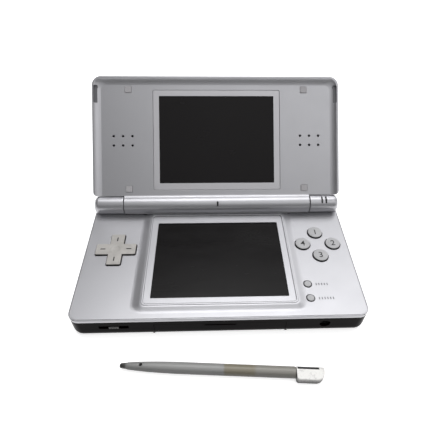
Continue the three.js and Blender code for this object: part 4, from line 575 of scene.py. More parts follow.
def bar(radius, at, span, axis="Z", sides=48):
    """A round bar along an axis, over a span of that axis."""
    place = [at[0], at[1], at[2]]
    place["XYZ".index(axis)] = 0
    return turned([(0, span[0]), (radius, span[0]), (radius, span[1]), (0, span[1])], place, axis, sides)


def bars(radius, places, span):
    """An upright round bar at each of these places."""
    return [bar(radius, (x, y, 0), span) for x, y in places]


def through(points, steps):
    """A smooth curve through pairs of shares."""
    ends = [points[0], *points, points[-1]]
    curve = []
    for i in range(1, len(ends) - 2):
        for step in range(steps):
            t = step / steps
            curve.append(tuple(
                0.5 * (2 * b + (c - a) * t + (2 * a - 5 * b + 4 * c - d) * t**2
                       + (3 * b - a - 3 * c + d) * t**3)
                for a, b, c, d in zip(*ends[i - 1:i + 3])))
    return [*curve, points[-1]]


def drop(*shapes):
    """Deletes tools and shapes that are done with."""
    for shape in shapes:
        bpy.data.objects.remove(shape)


def plain_mesh(shape):
    """The mesh that a shape has under its modifiers, or that a text has."""
    bpy.context.view_layer.update()
    graph = bpy.context.evaluated_depsgraph_get()
    return bpy.data.meshes.new_from_object(shape.evaluated_get(graph))


def settled(shape):
    """The shape with its modifiers made into a plain mesh."""
    mesh = plain_mesh(shape)
    shape.modifiers.clear()
    shape.data = mesh
    return shape


def combined(shape, operation, others):
    """The shape after a Boolean with each of the others, which are used up."""
    for other in others:
        modifier = shape.modifiers.new(operation.title(), "BOOLEAN")
        modifier.operation, modifier.solver, modifier.object = operation, "MANIFOLD", other
    settled(shape)
    drop(*others)
    return shape


def cut(shape, *tools):
    """The shape without the tools."""
    return combined(shape, "DIFFERENCE", tools)


def join(shape, *others):
    """The shape with the others."""
    return combined(shape, "UNION", others)


def common(shape, *others):
    """What the shape shares with the others."""
    return combined(shape, "INTERSECT", others)


def copied(shape):
    """A copy of a shape with a mesh of its own."""
    return shown("Shape", shape.data.copy())


def mirrored(shape):
    """A copy on the other side of the middle, with its faces turned the right way."""
    twin = copied(shape)
    twin.data.transform(Matrix.Scale(-1, 4, (1, 0, 0)))
    twin.data.flip_normals()
    return twin


def both_sides(shape):
    """The shape on the right and its mirror image on the left."""
    return [shape, mirrored(shape)]


def piece(shape, name, body, nodes, slot, place=None, ink=None):
    """Finishes a piece: its place, shading, materials, body and the solids it stands for."""
    if place is not None:
        shape.data.transform(place)
    shape.data.shade_smooth()
    shape.data.set_sharp_from_angle(angle=SHARP_ANGLE)
    modifier = shape.modifiers.new("Weighted Normal", "WEIGHTED_NORMAL")
    modifier.keep_sharp = True
    settled(shape)
    shape.name = shape.data.name = name
    if not any(shape.data.materials):
        if shape.data.materials:
            shape.data.materials.clear()
        for material in (slot, ink):
            if material:
                shape.data.materials.append(finish(material))
    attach(shape, body)
    if nodes:
        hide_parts(*nodes)
    return shape


def coated(shape, slot):
    """Gives a shape one finish in place of its own."""
    shape.data.materials.clear()
    shape.data.materials.append(finish(slot))


def inked(shape, inside, place=None):
    """Gives the second finish to the faces whose middle, seen from a place, this picks."""
    back = place.inverted() if place else Matrix()
    for face in shape.data.polygons:
        face.material_index = 1 if inside(back @ face.center) else 0


# Geometry trees


def tree_with(name, sockets):
    """A new geometry tree with these named inputs, its input node and its output node."""
    tree = bpy.data.node_groups.new(name, "GeometryNodeTree")
    tree.interface.new_socket("Geometry", in_out="OUTPUT", socket_type="NodeSocketGeometry")
    for label, kind in sockets:
        tree.interface.new_socket(label, in_out="INPUT", socket_type=f"NodeSocket{kind}")
    return tree, tree.nodes.new("NodeGroupInput"), tree.nodes.new("NodeGroupOutput")


def linked(tree, kind, inputs=None, **settings):
    """A new node with its settings, and its inputs set or linked."""
    node = tree.nodes.new(kind)
    for key, value in settings.items():
        setattr(node, key, value)
    for key, value in (inputs or {}).items():
        if isinstance(value, bpy.types.NodeSocket):
            tree.links.new(value, node.inputs[key])
        else:
            node.inputs[key].default_value = value
    return node


def maths(tree, operation, first, second):
    """The result of a Math node."""
    return linked(tree, "ShaderNodeMath", {0: first, 1: second}, operation=operation).outputs[0]


def finish_tree(tree, geometry, material, output):
    """Ends a tree: its copies made real, and its material set."""
    realized = linked(tree, "GeometryNodeRealizeInstances", {"Geometry": geometry})
    painted = linked(tree, "GeometryNodeSetMaterial", {
        "Geometry": realized.outputs[0], "Material": material})
    tree.links.new(painted.outputs[0], output.inputs[0])


def rows_tree():
    """Sets copies of one shape out in rows and columns about a place."""
    tree, given, output = tree_with("Rows of a Shape", [
        ("Shape", "Object"), ("Columns", "Int"), ("Rows", "Int"), ("Column Pitch", "Float"),
        ("Row Pitch", "Float"), ("Place", "Vector"), ("Material", "Material")])
    width, depth = (
        maths(tree, "MULTIPLY", maths(tree, "SUBTRACT", given.outputs[number], 1.0), given.outputs[pitch])
        for number, pitch in (("Columns", "Column Pitch"), ("Rows", "Row Pitch")))
    grid = linked(tree, "GeometryNodeMeshGrid", {
        "Size X": width, "Size Y": depth,
        "Vertices X": given.outputs["Columns"], "Vertices Y": given.outputs["Rows"]})
    moved = linked(tree, "GeometryNodeTransform", {
        "Geometry": grid.outputs["Mesh"], "Translation": given.outputs["Place"]})
    shape = linked(tree, "GeometryNodeObjectInfo", {"Object": given.outputs["Shape"]})
    copies = linked(tree, "GeometryNodeInstanceOnPoints", {
        "Points": moved.outputs[0], "Instance": shape.outputs["Geometry"]})
    finish_tree(tree, copies.outputs[0], given.outputs["Material"], output)
    return tree


def coil_tree():
    """A coil of wire about the Z axis."""
    tree, given, output = tree_with("Coil", [
        ("Radius", "Float"), ("Height", "Float"), ("Turns", "Float"), ("Wire", "Float"),
        ("Wire Corner", "Float"), ("Place", "Vector"), ("Material", "Material")])
    spiral = linked(tree, "GeometryNodeCurveSpiral", {
        "Resolution": 24, "Rotations": given.outputs["Turns"], "Start Radius": given.outputs["Radius"],
        "End Radius": given.outputs["Radius"], "Height": given.outputs["Height"]})
    wire = linked(tree, "GeometryNodeCurvePrimitiveQuadrilateral", {
        "Width": given.outputs["Wire"], "Height": given.outputs["Wire"]})
    round_wire = linked(tree, "GeometryNodeFilletCurve", {
        "Curve": wire.outputs[0], "Radius": given.outputs["Wire Corner"], "Count": 3, "Limit Radius": True},
        mode="POLY")
    swept = linked(tree, "GeometryNodeCurveToMesh", {
        "Curve": spiral.outputs[0], "Profile Curve": round_wire.outputs[0], "Fill Caps": True})
    moved = linked(tree, "GeometryNodeTransform", {
        "Geometry": swept.outputs[0], "Translation": given.outputs["Place"]})
    finish_tree(tree, moved.outputs[0], given.outputs["Material"], output)
    return tree


TREES = {}


def made_by(tree_maker, **values):
    """Runs a geometry tree with these inputs, and returns its result as a plain mesh."""
    if tree_maker not in TREES:
        TREES[tree_maker] = tree_maker()
    tree = TREES[tree_maker]
    holder = solid([], [])
    modifier = holder.modifiers.new("Tree", "NODES")
    modifier.node_group = tree
    places = {
        item.name: item.identifier for item in tree.interface.items_tree
        if item.item_type == "SOCKET" and item.in_out == "INPUT"}
    for label, value in values.items():
        modifier[places[label.replace("_", " ").title()]] = value
    return settled(holder)


def in_rows(shape, columns, rows, column_pitch, row_pitch, place, material=None):
    """Sets a shape out in rows, in place of the one that is given."""
    result = made_by(rows_tree, shape=shape, columns=columns, rows=rows, column_pitch=column_pitch,
                     row_pitch=row_pitch, place=place, material=material)
    drop(shape)
    return result


# Finishes


def new_finish(name, values=None):
    """A new material: its tree, its shader with these values on its sockets, and its object coordinates."""
    material = bpy.data.materials.new(name)
    material.use_nodes = True
    tree = material.node_tree
    shader = tree.nodes["Principled BSDF"]
    for socket, value in (values or {}).items():
        shader.inputs[socket].default_value = value
    places = tree.nodes.new("ShaderNodeTexCoord").outputs["Object"]
    return material, tree, shader, places


def spread(tree, value, low, high, start=0.0, end=1.0):
    """Maps a value from one range to another."""
    return linked(tree, "ShaderNodeMapRange", {
        "Value": value, "From Min": start, "From Max": end, "To Min": low, "To Max": high}).outputs[0]


def noise(tree, places, scale, detail=3.0, roughness=0.5):
    """Clouds, about this many to a metre."""
    return linked(tree, "ShaderNodeTexNoise", {
        "Vector": places, "Scale": scale, "Detail": detail, "Roughness": roughness}).outputs[0]


def stretched(tree, places, scale, turn=0.0):
    """Places with a scale of their own along each axis, after a turn about Z."""
    return linked(tree, "ShaderNodeMapping", {
        "Vector": places, "Rotation": (0.0, 0.0, turn), "Scale": scale}).outputs[0]


def shaded(tree, base, share):
    """A colour made lighter or darker by a share."""
    base = base if isinstance(base, bpy.types.NodeSocket) else (*base,)
    return linked(tree, "ShaderNodeVectorMath", {0: base, "Scale": share}, operation="SCALE").outputs[0]


def grain(tree, shader, height, strength, distance):
    """Roughens a surface by a height, with how strong and how deep it looks."""
    bump = linked(tree, "ShaderNodeBump", {"Height": height, "Strength": strength, "Distance": distance})
    tree.links.new(bump.outputs[0], shader.inputs["Normal"])


def covered(tree, shader, base, share, roughness):
    """Gives a shader a share of its base colour, and its roughness."""
    tree.links.new(shaded(tree, base, share), shader.inputs["Base Color"])
    tree.links.new(roughness, shader.inputs["Roughness"])


def silver_paint(name, base, roughness=0.36, metallic=0.75):
    """Metallic lacquer: fine flake, faint clouding and orange peel under a clear coat."""
    material, tree, shader, places = new_finish(name, {
        "Metallic": metallic, "Coat Weight": 0.3, "Coat Roughness": 0.12})
    flake = linked(tree, "ShaderNodeTexVoronoi", {"Vector": places, "Scale": 14000.0})
    glint = linked(tree, "ShaderNodeSeparateColor", {"Color": flake.outputs["Color"]}).outputs[0]
    cloud = spread(tree, noise(tree, places, 55.0), 0.985, 1.015)
    handling = noise(tree, places, 140.0, detail=5.0, roughness=0.65)
    covered(tree, shader, base, maths(tree, "MULTIPLY", spread(tree, glint, 0.99, 1.01), cloud),
            spread(tree, handling, roughness - 0.03, roughness + 0.04, 0.3, 0.7))
    grain(tree, shader, noise(tree, places, 900.0, detail=1.0), strength=0.01, distance=0.02 * MM)
    return material


def gloss_moulding(name, base, roughness=0.16):
    """Glossy dark moulding with dust in faint clouds and fine wiping marks."""
    material, tree, shader, places = new_finish(name, {"Specular IOR Level": 0.025})
    wipes = noise(tree, stretched(tree, places, (60.0, 900.0, 900.0)), 1.0, detail=4.0, roughness=0.7)
    covered(tree, shader, base, spread(tree, noise(tree, places, 80.0, detail=4.0), 0.85, 1.2),
            spread(tree, wipes, roughness - 0.04, roughness + 0.14, 0.35, 0.75))
    grain(tree, shader, wipes, strength=0.03, distance=0.02 * MM)
    return material


def satin_moulding(name, base, roughness=0.42, dirt=0.08, scale=260.0, painted_side_shade=False):
    """Satin plastic with a spark-eroded grain and handling dirt, and, where asked, painted shade that darkens
    its sides.
    """
    material, tree, shader, places = new_finish(name)
    soil = noise(tree, places, scale, detail=5.0, roughness=0.6)
    share = spread(tree, soil, 1 - dirt, 1 + dirt / 2, 0.3, 0.65)
    if painted_side_shade:
        up = linked(tree, "ShaderNodeSeparateXYZ", {0: places.node.outputs["Normal"]}).outputs[2]
        # Painted shade: faces grow darker as they turn away from facing up.
        share = maths(tree, "MULTIPLY", share, spread(tree, up, SIDE_SHADE_SHARE, 1.0, *SIDE_SHADE_SLOPES))
    covered(tree, shader, base, share, spread(tree, soil, roughness - 0.06, roughness + 0.1))
    grain(tree, shader, noise(tree, places, 5200.0, detail=2.0), strength=0.12, distance=0.04 * MM)
    return material


def rubber(name, base):
    """Matt rubber with a dusty bloom."""
    material, tree, shader, places = new_finish(name, {"Sheen Weight": 0.15})
    bloom = noise(tree, places, 900.0, detail=5.0, roughness=0.65)
    covered(tree, shader, base, spread(tree, bloom, 0.85, 1.18), spread(tree, bloom, 0.7, 0.95))
    grain(tree, shader, noise(tree, places, 4200.0, detail=3.0), strength=0.2, distance=0.05 * MM)
    return material


def screen_glass(name, base):
    """A dark screen behind glass, with faint smears."""
    material, tree, shader, places = new_finish(name, {"Specular IOR Level": 0.12})
    streaks = stretched(tree, places, (40.0, 130.0, 60.0), turn=0.6)
    smear = noise(tree, streaks, 1.0, detail=5.0, roughness=0.6)
    covered(tree, shader, base, spread(tree, smear, 0.9, 1.15), spread(tree, smear, 0.16, 0.34, 0.35, 0.8))
    return material


def bright_metal(name, base, roughness=0.32):
    """Drawn metal with fine lines along its length."""
    material, tree, shader, places = new_finish(name, {"Metallic": 1.0})
    lines = noise(tree, stretched(tree, places, (250.0, 4200.0, 4200.0)), 1.0, detail=3.0)
    covered(tree, shader, base, spread(tree, lines, 0.88, 1.1),
            spread(tree, lines, roughness - 0.08, roughness + 0.12))
    grain(tree, shader, lines, strength=0.08, distance=0.03 * MM)
    return material


def print_ink(name, base):
    """Printed ink with a slightly broken surface, which also serves as painted shade."""
    material, tree, shader, places = new_finish(name)
    wear = noise(tree, places, 3000.0, detail=3.0)
    covered(tree, shader, base, spread(tree, wear, 0.85, 1.2), spread(tree, wear, 0.4, 0.6))
    return material


def clear_lens(name, base):
    """A milky light guide."""
    material, tree, shader, places = new_finish(name, {"Transmission Weight": 0.35})
    haze = noise(tree, places, 1400.0, detail=3.0)
    covered(tree, shader, base, spread(tree, haze, 0.9, 1.1), spread(tree, haze, 0.08, 0.2))
    return material


def circuit_board(name, base):
    """Solder mask over a pattern of tracks."""
    material, tree, shader, places = new_finish(name)
    tracks = linked(tree, "ShaderNodeTexBrick", {
        "Vector": places, "Scale": 220.0, "Mortar Size": 0.02, "Mortar Smooth": 0.2,
        "Brick Width": 0.9, "Row Height": 0.16, "Color1": (0.8, 0.8, 0.8, 1),
        "Color2": (1, 1, 1, 1), "Mortar": (1.6, 1.6, 1.6, 1)})
    value = linked(tree, "ShaderNodeSeparateColor", {"Color": tracks.outputs["Color"]}).outputs[0]
    covered(tree, shader, base, value, spread(tree, noise(tree, places, 500.0), 0.3, 0.5))
    grain(tree, shader, value, strength=0.2, distance=0.04 * MM)
    return material


def along_stylus(tree, places):
    """Places in the stylus's own frame: along it from its middle, across it, and up from its axis."""
    back = linked(tree, "ShaderNodeMapping", {
        "Vector": places, "Location": STYLUS_MIDDLE, "Rotation": (0.0, 0.0, STYLUS_TURN)},
        vector_type="TEXTURE")
    return linked(tree, "ShaderNodeSeparateXYZ", {0: back.outputs[0]}).outputs


def worn_shaft(name, base, band):
    """The stylus shaft: grey plastic, a darker nib, an olive stain where it is held, and painted shade on its
    lower side.
    """
    material, tree, shader, places = new_finish(name)
    along, _, up = along_stylus(tree, places)
    # Painted shade: the shaft's lower side is darker.
    underside_shade = spread(tree, up, 0.5, 1.0, *UNDERSIDE_SHADE_HEIGHTS)
    uneven = spread(tree, noise(tree, places, 420.0, detail=4.0, roughness=0.6), -BAND_UNEVEN, BAND_UNEVEN)
    half = STYLUS_LENGTH / 2
    place = spread(tree, maths(tree, "ADD", along, uneven), 0.0, 1.0, -half, half)
    ramp = linked(tree, "ShaderNodeValToRGB", {"Fac": place})
    nib = STYLUS_NIB_LENGTH / STYLUS_LENGTH
    start, end = ((edge + half) / STYLUS_LENGTH for edge in STYLUS_BAND)
    olive = [(1 - BAND_LEFT) * a + BAND_LEFT * b for a, b in zip(base, band)]
    nib_fade, band_fade, tail_fade = STYLUS_FADES
    stops = [(0.0, paint(52, 51, 50)), (nib - nib_fade, paint(78, 77, 75)), (nib, base),
             (start - band_fade, base), (start, band), (end, band), (end + tail_fade, olive), (1.0, olive)]
    elements = ramp.color_ramp.elements
    elements[0].color, elements[-1].color = (*stops[0][1], 1), (*stops[-1][1], 1)
    for position, shade in stops[1:-1]:
        elements.new(position).color = (*shade, 1)
    soil = noise(tree, places, 1300.0, detail=4.0, roughness=0.7)
    share = maths(tree, "MULTIPLY", spread(tree, soil, 0.93, 1.04), underside_shade)
    covered(tree, shader, ramp.outputs["Color"], share, spread(tree, soil, 0.26, 0.4))
    grain(tree, shader, noise(tree, places, 4200.0, detail=2.0), strength=0.06, distance=0.03 * MM)
    return material


def worn_cap(name, base):
    """The stylus cap: white plastic with grime in its grain, and painted shade that darkens it towards its
    foot.
    """
    material, tree, shader, places = new_finish(name)
    up = along_stylus(tree, places)[2]
    soil = noise(tree, places, 700.0, detail=5.0, roughness=0.7)
    # Painted shade: the cap darkens towards its foot.
    foot = spread(tree, up, 1.0, 0.0, *CAP_HEIGHTS)
    grime_and_painted_shade = maths(tree, "ADD", spread(tree, soil, 0.0, 0.35, 0.5, 0.7), foot)
    covered(tree, shader, base, spread(tree, grime_and_painted_shade, 1.0, 0.1), spread(tree, soil, 0.35, 0.55))
    grain(tree, shader, soil, strength=0.25, distance=0.06 * MM)
    return material


FINISHES = {
    "silver": lambda colours: silver_paint("Silver Paint", colours.silver),
    "lens": lambda colours: silver_paint("Lens Border", paint(200, 199, 203), roughness=0.4, metallic=0.45),
    "dark_case": lambda colours: gloss_moulding("Dark Moulding as Painted Shade", colours.dark_case),
    "keys": lambda colours: satin_moulding("Key Moulding", colours.keys, roughness=0.38, painted_side_shade=True),
    "pad_key": lambda colours: satin_moulding(
        "Pad Moulding", colours.pad, roughness=0.45, dirt=0.14, painted_side_shade=True),
    "slider": lambda colours: satin_moulding("Slider Moulding", colours.sliders, roughness=0.38),
    "screen": lambda colours: screen_glass("Screen Glass", colours.screen),
    "upper_screen": lambda colours: screen_glass("Upper Screen Glass", colours.upper_screen),
    "clear_lens": lambda colours: clear_lens("Indicator Lens", colours.lenses),
    "board": lambda colours: circuit_board("Circuit Board", paint(38, 86, 52)),
    "steel": lambda colours: bright_metal("Steel", paint(186, 188, 190)),
    "rubber": lambda colours: rubber("Bumper Rubber", colours.bumpers),
    "black_plastic": lambda colours: satin_moulding("Black Moulding and Painted Shade", paint(28, 28, 30), roughness=0.5),
    "battery": lambda colours: satin_moulding(
        "Battery Wrap", paint(86, 89, 94), roughness=0.5, dirt=0.1, scale=90.0),
    "stylus": lambda colours: worn_shaft("Stylus Shaft", colours.stylus, colours.band),
    "stylus_cap": lambda colours: worn_cap("Stylus Cap", colours.stylus_cap),
    "flex": lambda colours: bright_metal("Copper Flex", paint(178, 122, 66), roughness=0.45),
    "ink": lambda colours: print_ink("Printed Marks and Painted Shade", colours.marks),
}
MATERIALS = {}


def finish(slot):
    """The finish of a slot in the record, made the first time that a piece asks for it."""
    if slot not in MATERIALS:
        MATERIALS[slot] = FINISHES[slot](bpy.context.scene.console_colours)
    return MATERIALS[slot]


# Base


def case_ring(z, inset):
    """The base's outline at a height, moved inwards by an inset."""
    return ring(grown(SIDES, -inset), grown([FRONT, REAR], -inset), z,
                max(CORNER_RADIUS - inset, CORNER_RADIUS / 4), steps=16)


def case_slab(span, inset):
    """A slab with the base's outline, moved inwards by an inset."""
    return loft([case_ring(z, inset) for z in span])


def case_body(inset, low, high, chamfer=0.0):
    """The outside of the base with its rounded foot, moved inwards by an inset."""
    foot = [case_ring(z, inset + out) for z, out in round_foot(low, EDGE_RISE - low, EDGE_INSET, steps=12)]
    rings = [*foot, case_ring(high - chamfer, inset)]
    if chamfer:
        rings.append(case_ring(high, inset + chamfer))
    return loft(rings)


def shoulder_block(gap, travel):
    """The room of the right shoulder button, with a gap round it and room for its swing."""
    return block([SHOULDER_INNER - gap, SIDE + OVERRUN], [SHOULDER_START - travel, REAR + OVERRUN],
                 grown(SHOULDER_Z, gap))


def screw_places():
    """Where the four case screws stand."""
    return [(side * SCREW_X, y) for side in (-1, 1) for y in SCREW_Y]


def shoulder_pins():
    """Where the pins of the shoulder buttons stand."""
    middle = box_middle("right_shoulder_pin")
    return [(side * middle.x, middle.y) for side in (-1, 1)]


def slider_slots():
    """Tools for the slots that the sliders' knobs run in."""
    volume, power = box_middle("volume_slider"), box_middle("power_slider")
    reach = KNOB_LENGTH + 2 * FIT_GAP
    height = grown(about(volume.z, KNOB_HEIGHT), FIT_GAP)
    power_y = about(power.y + POWER_TRAVEL / 2, reach + POWER_TRAVEL)
    return [
        block(about(volume.x, reach + VOLUME_TRAVEL), [FRONT - OVERRUN, FRONT + EDGE_INSET], height),
        block([SIDE - EDGE_INSET, SIDE + OVERRUN], power_y, height)]


def wall_openings():
    """Tools for the openings in the lower case's walls."""
    jack, charge = box_middle("headphone_jack"), box_middle("charge_socket")
    front = [FRONT - OVERRUN, FRONT + EDGE_INSET + CASE_WALL]
    rear = [REAR - EDGE_INSET - CASE_WALL, REAR + OVERRUN]
    return [
        block(CART_X, front, CART_Z),
        block(grown(CARD_X, -CARD_WALL), rear, grown(CARD_Z, -CARD_PLATE)),
        block([SIDE - EDGE_INSET - CASE_WALL, SIDE + OVERRUN], grown(CHANNEL_Y, -CHANNEL_WALL),
              grown(CHANNEL_Z, -CHANNEL_WALL)),
        bar(JACK_BORE, jack, front, "Y"),
        block(about(charge.x, CHARGE_SLOT[0]), rear, about(charge.z, CHARGE_SLOT[1])),
        *slider_slots()]


def make_lower_case():
    """The dark lower case: an open shell with bosses, and the openings in its walls and floor."""
    shell = cut(case_body(0, 0, SEAM, SEAM_CHAMFER), case_body(CASE_WALL, FLOOR, SEAM + OVERRUN))
    boss_z = [FLOOR / 2, SCREW_RECESS + BOSS_WEB]
    join(shell,
         *bars(SCREW_HEAD_RADIUS + FIT_GAP + BOSS_WALL, screw_places(), boss_z),
         *bars(SHOULDER_BOSS_RADIUS, shoulder_pins(), [FLOOR / 2, SHOULDER_Z[0] - FIT_GAP]),
         *both_sides(block([CART_X[1], CART_X[1] + CART_RIB], [FRONT + CASE_WALL / 2, FRONT + CART_DEPTH],
                           [FLOOR / 2, CART_Z[1]])))
    cover_x, cover_y = box_span("battery_cover", 0), box_span("battery_cover", 1)
    cut(shell,
        *bars(SCREW_HEAD_RADIUS + FIT_GAP, screw_places(), [-OVERRUN, SCREW_RECESS]),
        *bars(SCREW_SHANK_RADIUS + FIT_GAP, screw_places(), [SCREW_RECESS - FLOOR, SEAM]),
        *bars(SHOULDER_PIN_RADIUS + FIT_GAP, shoulder_pins(), [FLOOR + FIT_GAP, SEAM]),
        *wall_openings(),
        plate(grown(cover_x, FIT_GAP), [cover_y[0] - FIT_GAP, cover_y[1] - COVER_TAB + FIT_GAP],
              [-OVERRUN, FLOOR + OVERRUN], COVER_CORNER),
        block(TROUGH_X, [REAR - CASE_WALL - OVERRUN, REAR + OVERRUN], [TROUGH_FLOOR, SEAM + OVERRUN]),
        *both_sides(shoulder_block(FIT_GAP, SHOULDER_TRAVEL_GAP)),
        skirt(OVERRUN, SKIRT_WALL + SEAM_CHAMFER / 2, SEAM - SKIRT_DROP - SEAM_CHAMFER / 2))
    piece(shell, "lower_case_shell", "base", ["lower_case"], "dark_case")


def plateau(rise):
    """The raised middle of the panel, with its curved flanks and its rounded edge."""
    start, widening = FRONT + PLATEAU_START, FLANK_CORNER - PLATEAU_CORNER
    flank = [ring(grown(PLATEAU_X, FLANK_RUN * out), [start - FRONT_RUN * out, HINGE_Y],
                  PANEL_TOP + (rise - PLATEAU_EDGE) * up, PLATEAU_CORNER + widening * out)
             for up, out in through(FLANK_CURVE, steps=4)]
    base = [(x, y, SEAM + FIT_GAP) for x, y, _ in flank[0]]
    edge = [ring(grown(PLATEAU_X, -inset), [start + inset, HINGE_Y], z, PLATEAU_CORNER)
            for z, inset in round_top(PANEL_TOP + rise, PLATEAU_EDGE, steps=5)[1:]]
    return loft([base, *flank, *edge])


def rim_line(sizes):
    """A tool for the line let into the panel's edge, which stops at the barrel."""
    inner = RIM_LINE_INSET + sizes.rim_line_width
    depth = PANEL_TOP - sizes.rim_line_depth
    return cut(
        case_slab([depth, PANEL_TOP + OVERRUN], RIM_LINE_INSET),
        case_slab([depth - OVERRUN, PANEL_TOP + 2 * OVERRUN], inner),
        block(SIDES, [HINGE_Y - BARREL_RADIUS, REAR], [0, 2 * HINGE_Z]))


def lug():
    """The right lug: a round end, a foot down to the panel and a bore for the hinge pin."""
    inner = [(BARREL_RADIUS - inset, x) for x, inset in round_foot(LUG_INNER, LUG_EDGE, LUG_EDGE, steps=3)]
    outer = [(BARREL_RADIUS - inset, x) for x, inset in round_top(LUG_OUTER, LUG_END_RADIUS, steps=14)]
    end = turned([(0, LUG_INNER), *inner, *outer, (0, LUG_OUTER)], HINGE, "X", BARREL_SIDES)
    foot_y = [HINGE_Y - LUG_FOOT_SETBACK, HINGE_Y + BARREL_RADIUS]
    foot_z = [SEAM + FIT_GAP, HINGE_Z]
    foot = loft([ring([LUG_INNER, LUG_OUTER], foot_y, z, LUG_END_RADIUS, PANEL_EDGE) for z in foot_z])
    join(end, foot, block([LUG_INNER, LUG_INNER + LUG_END_RADIUS], foot_y, foot_z))
    common(end, case_slab([0, 3 * HINGE_Z], REAR - HINGE_Y - BARREL_RADIUS))
    return cut(end, bar(PIN_BORE, HINGE, [LUG_INNER - OVERRUN, LUG_INNER + PIN_IN_LUG + FIT_GAP], "X"))


def round_hinge(shape):
    """Turns a shape made on the hinge axis to where the indicator lenses face."""
    shape.data.transform(Matrix.Translation(HINGE) @ Matrix.Rotation(LENS_TURN, 4, "X"))
    return shape


def lens_slots():
    """Tools for the pockets of the indicator lenses in the lug."""
    return [round_hinge(plate(
        grown(box_span(node, 0), POCKET_GAP), about(0, LENS_LENGTH + 2 * POCKET_GAP),
        [LENS_LOW, BARREL_RADIUS + OVERRUN], LENS_CORNER_SMALL, steps=4)) for node in LENS_NODES]


def make_indicator_lenses():
    """The two indicator lenses, as round as the lug and sunk a little into it."""
    skin = bar(BARREL_RADIUS - LENS_RECESS, HINGE, SIDES, "X", sides=256)
    for node in LENS_NODES:
        lens = round_hinge(plate(
            box_span(node, 0), about(0, LENS_LENGTH), [LENS_LOW + POCKET_GAP, BARREL_RADIUS],
            LENS_CORNER_SMALL - POCKET_GAP, steps=4))
        piece(common(lens, copied(skin)), f"{node}_bar", "base", [node], "clear_lens")
    drop(skin)


def pad_outline(gap):
    """The spans along X and Y of the pad's two arms, with a gap round them."""
    half, arm = PAD_SPAN / 2 + gap, PAD_ARM / 2 + gap
    x, y = PAD_MIDDLE.x, PAD_MIDDLE.y
    return [([x - half, x + half], [y - arm, y + arm]), ([x - arm, x + arm], [y - half, y + half])]


def round_mouth(at, radius, span, top, sides=64):
    """A tool for a round opening whose edge at the surface is rounded over."""
    edge = [(radius + out, height) for height, out in mouth_edge(top)]
    profile = [(0, span[0]), (radius, span[0]), *edge, (radius + MOUTH_ROUND, span[1]), (0, span[1])]
    return turned(profile, at, sides=sides)


def skirt(reach, wall, low):
    """A band round the seam, from a height up, that stops short of the shoulder buttons."""
    return cut(
        loft([case_ring(low, SEAM_CHAMFER - reach), case_ring(low + SEAM_CHAMFER, -reach),
              case_ring(SEAM + FIT_GAP, -reach)]),
        case_slab([low - OVERRUN, SEAM + OVERRUN], wall),
        block(grown(SIDES, OVERRUN), [SHOULDER_START - SHOULDER_TRAVEL_GAP - FIT_GAP, REAR + OVERRUN],
              [low - OVERRUN, SEAM + OVERRUN]))


def trough_wall():
    """The wall under the barrel's trough, up to the panel's top."""
    outer = TROUGH_RADIUS + TROUGH_WALL
    wall = join(bar(outer, HINGE, TROUGH_X, "X", BARREL_SIDES),
                block(TROUGH_X, [HINGE_Y, REAR], [TROUGH_FLOOR, HINGE_Z]))
    return common(wall, block(TROUGH_X, [HINGE_Y - outer, REAR], [TROUGH_FLOOR, PANEL_TOP]))


def key_holes(sizes, span):
    """Tools for the holes of the direction pad and of the round keys."""
    keys = [(f"face_button_{place}", sizes.key_radius) for place in FACE_BUTTONS]
    keys += [(node, sizes.small_key_radius) for node in SMALL_BUTTON_TICKS]
    return [*[mouth(x, y, span, PAD_CORNER + KEY_GAP, PANEL_TOP) for x, y in pad_outline(KEY_GAP)],
            *[round_mouth(box_middle(node).xy.to_3d(), radius + KEY_GAP, span, PANEL_TOP)
              for node, radius in keys]]


def in_trough(at):
    """Whether a place is on the trough under the barrel."""
    return abs(at.x) < LUG_INNER and math.hypot(at.y - HINGE_Y, at.z - HINGE_Z) < TROUGH_RADIUS + POCKET_GAP


def in_bezel_groove(at, top):
    """Whether a place is in the groove round the bezel."""
    edge = max(abs(at.x) - BEZEL_X[1], BEZEL_Y[0] - at.y, at.y - BEZEL_Y[1])
    return (top - BEZEL_GROOVE - POCKET_GAP < at.z < top - POCKET_GAP / 4
            and -BEZEL_GROOVE - POCKET_GAP < edge < POCKET_GAP)


def in_rim_line(at, sizes):
    """Whether a place is in the line let into the panel's edge."""
    edge = max(abs(at.x) - SIDE, FRONT - at.y)
    spare = 0.1 * sizes.rim_line_depth
    return (PANEL_TOP - sizes.rim_line_depth - spare < at.z < PANEL_TOP - sizes.rim_line_depth / 4
            and -RIM_LINE_INSET - sizes.rim_line_width - spare < edge < -0.9 * RIM_LINE_INSET)


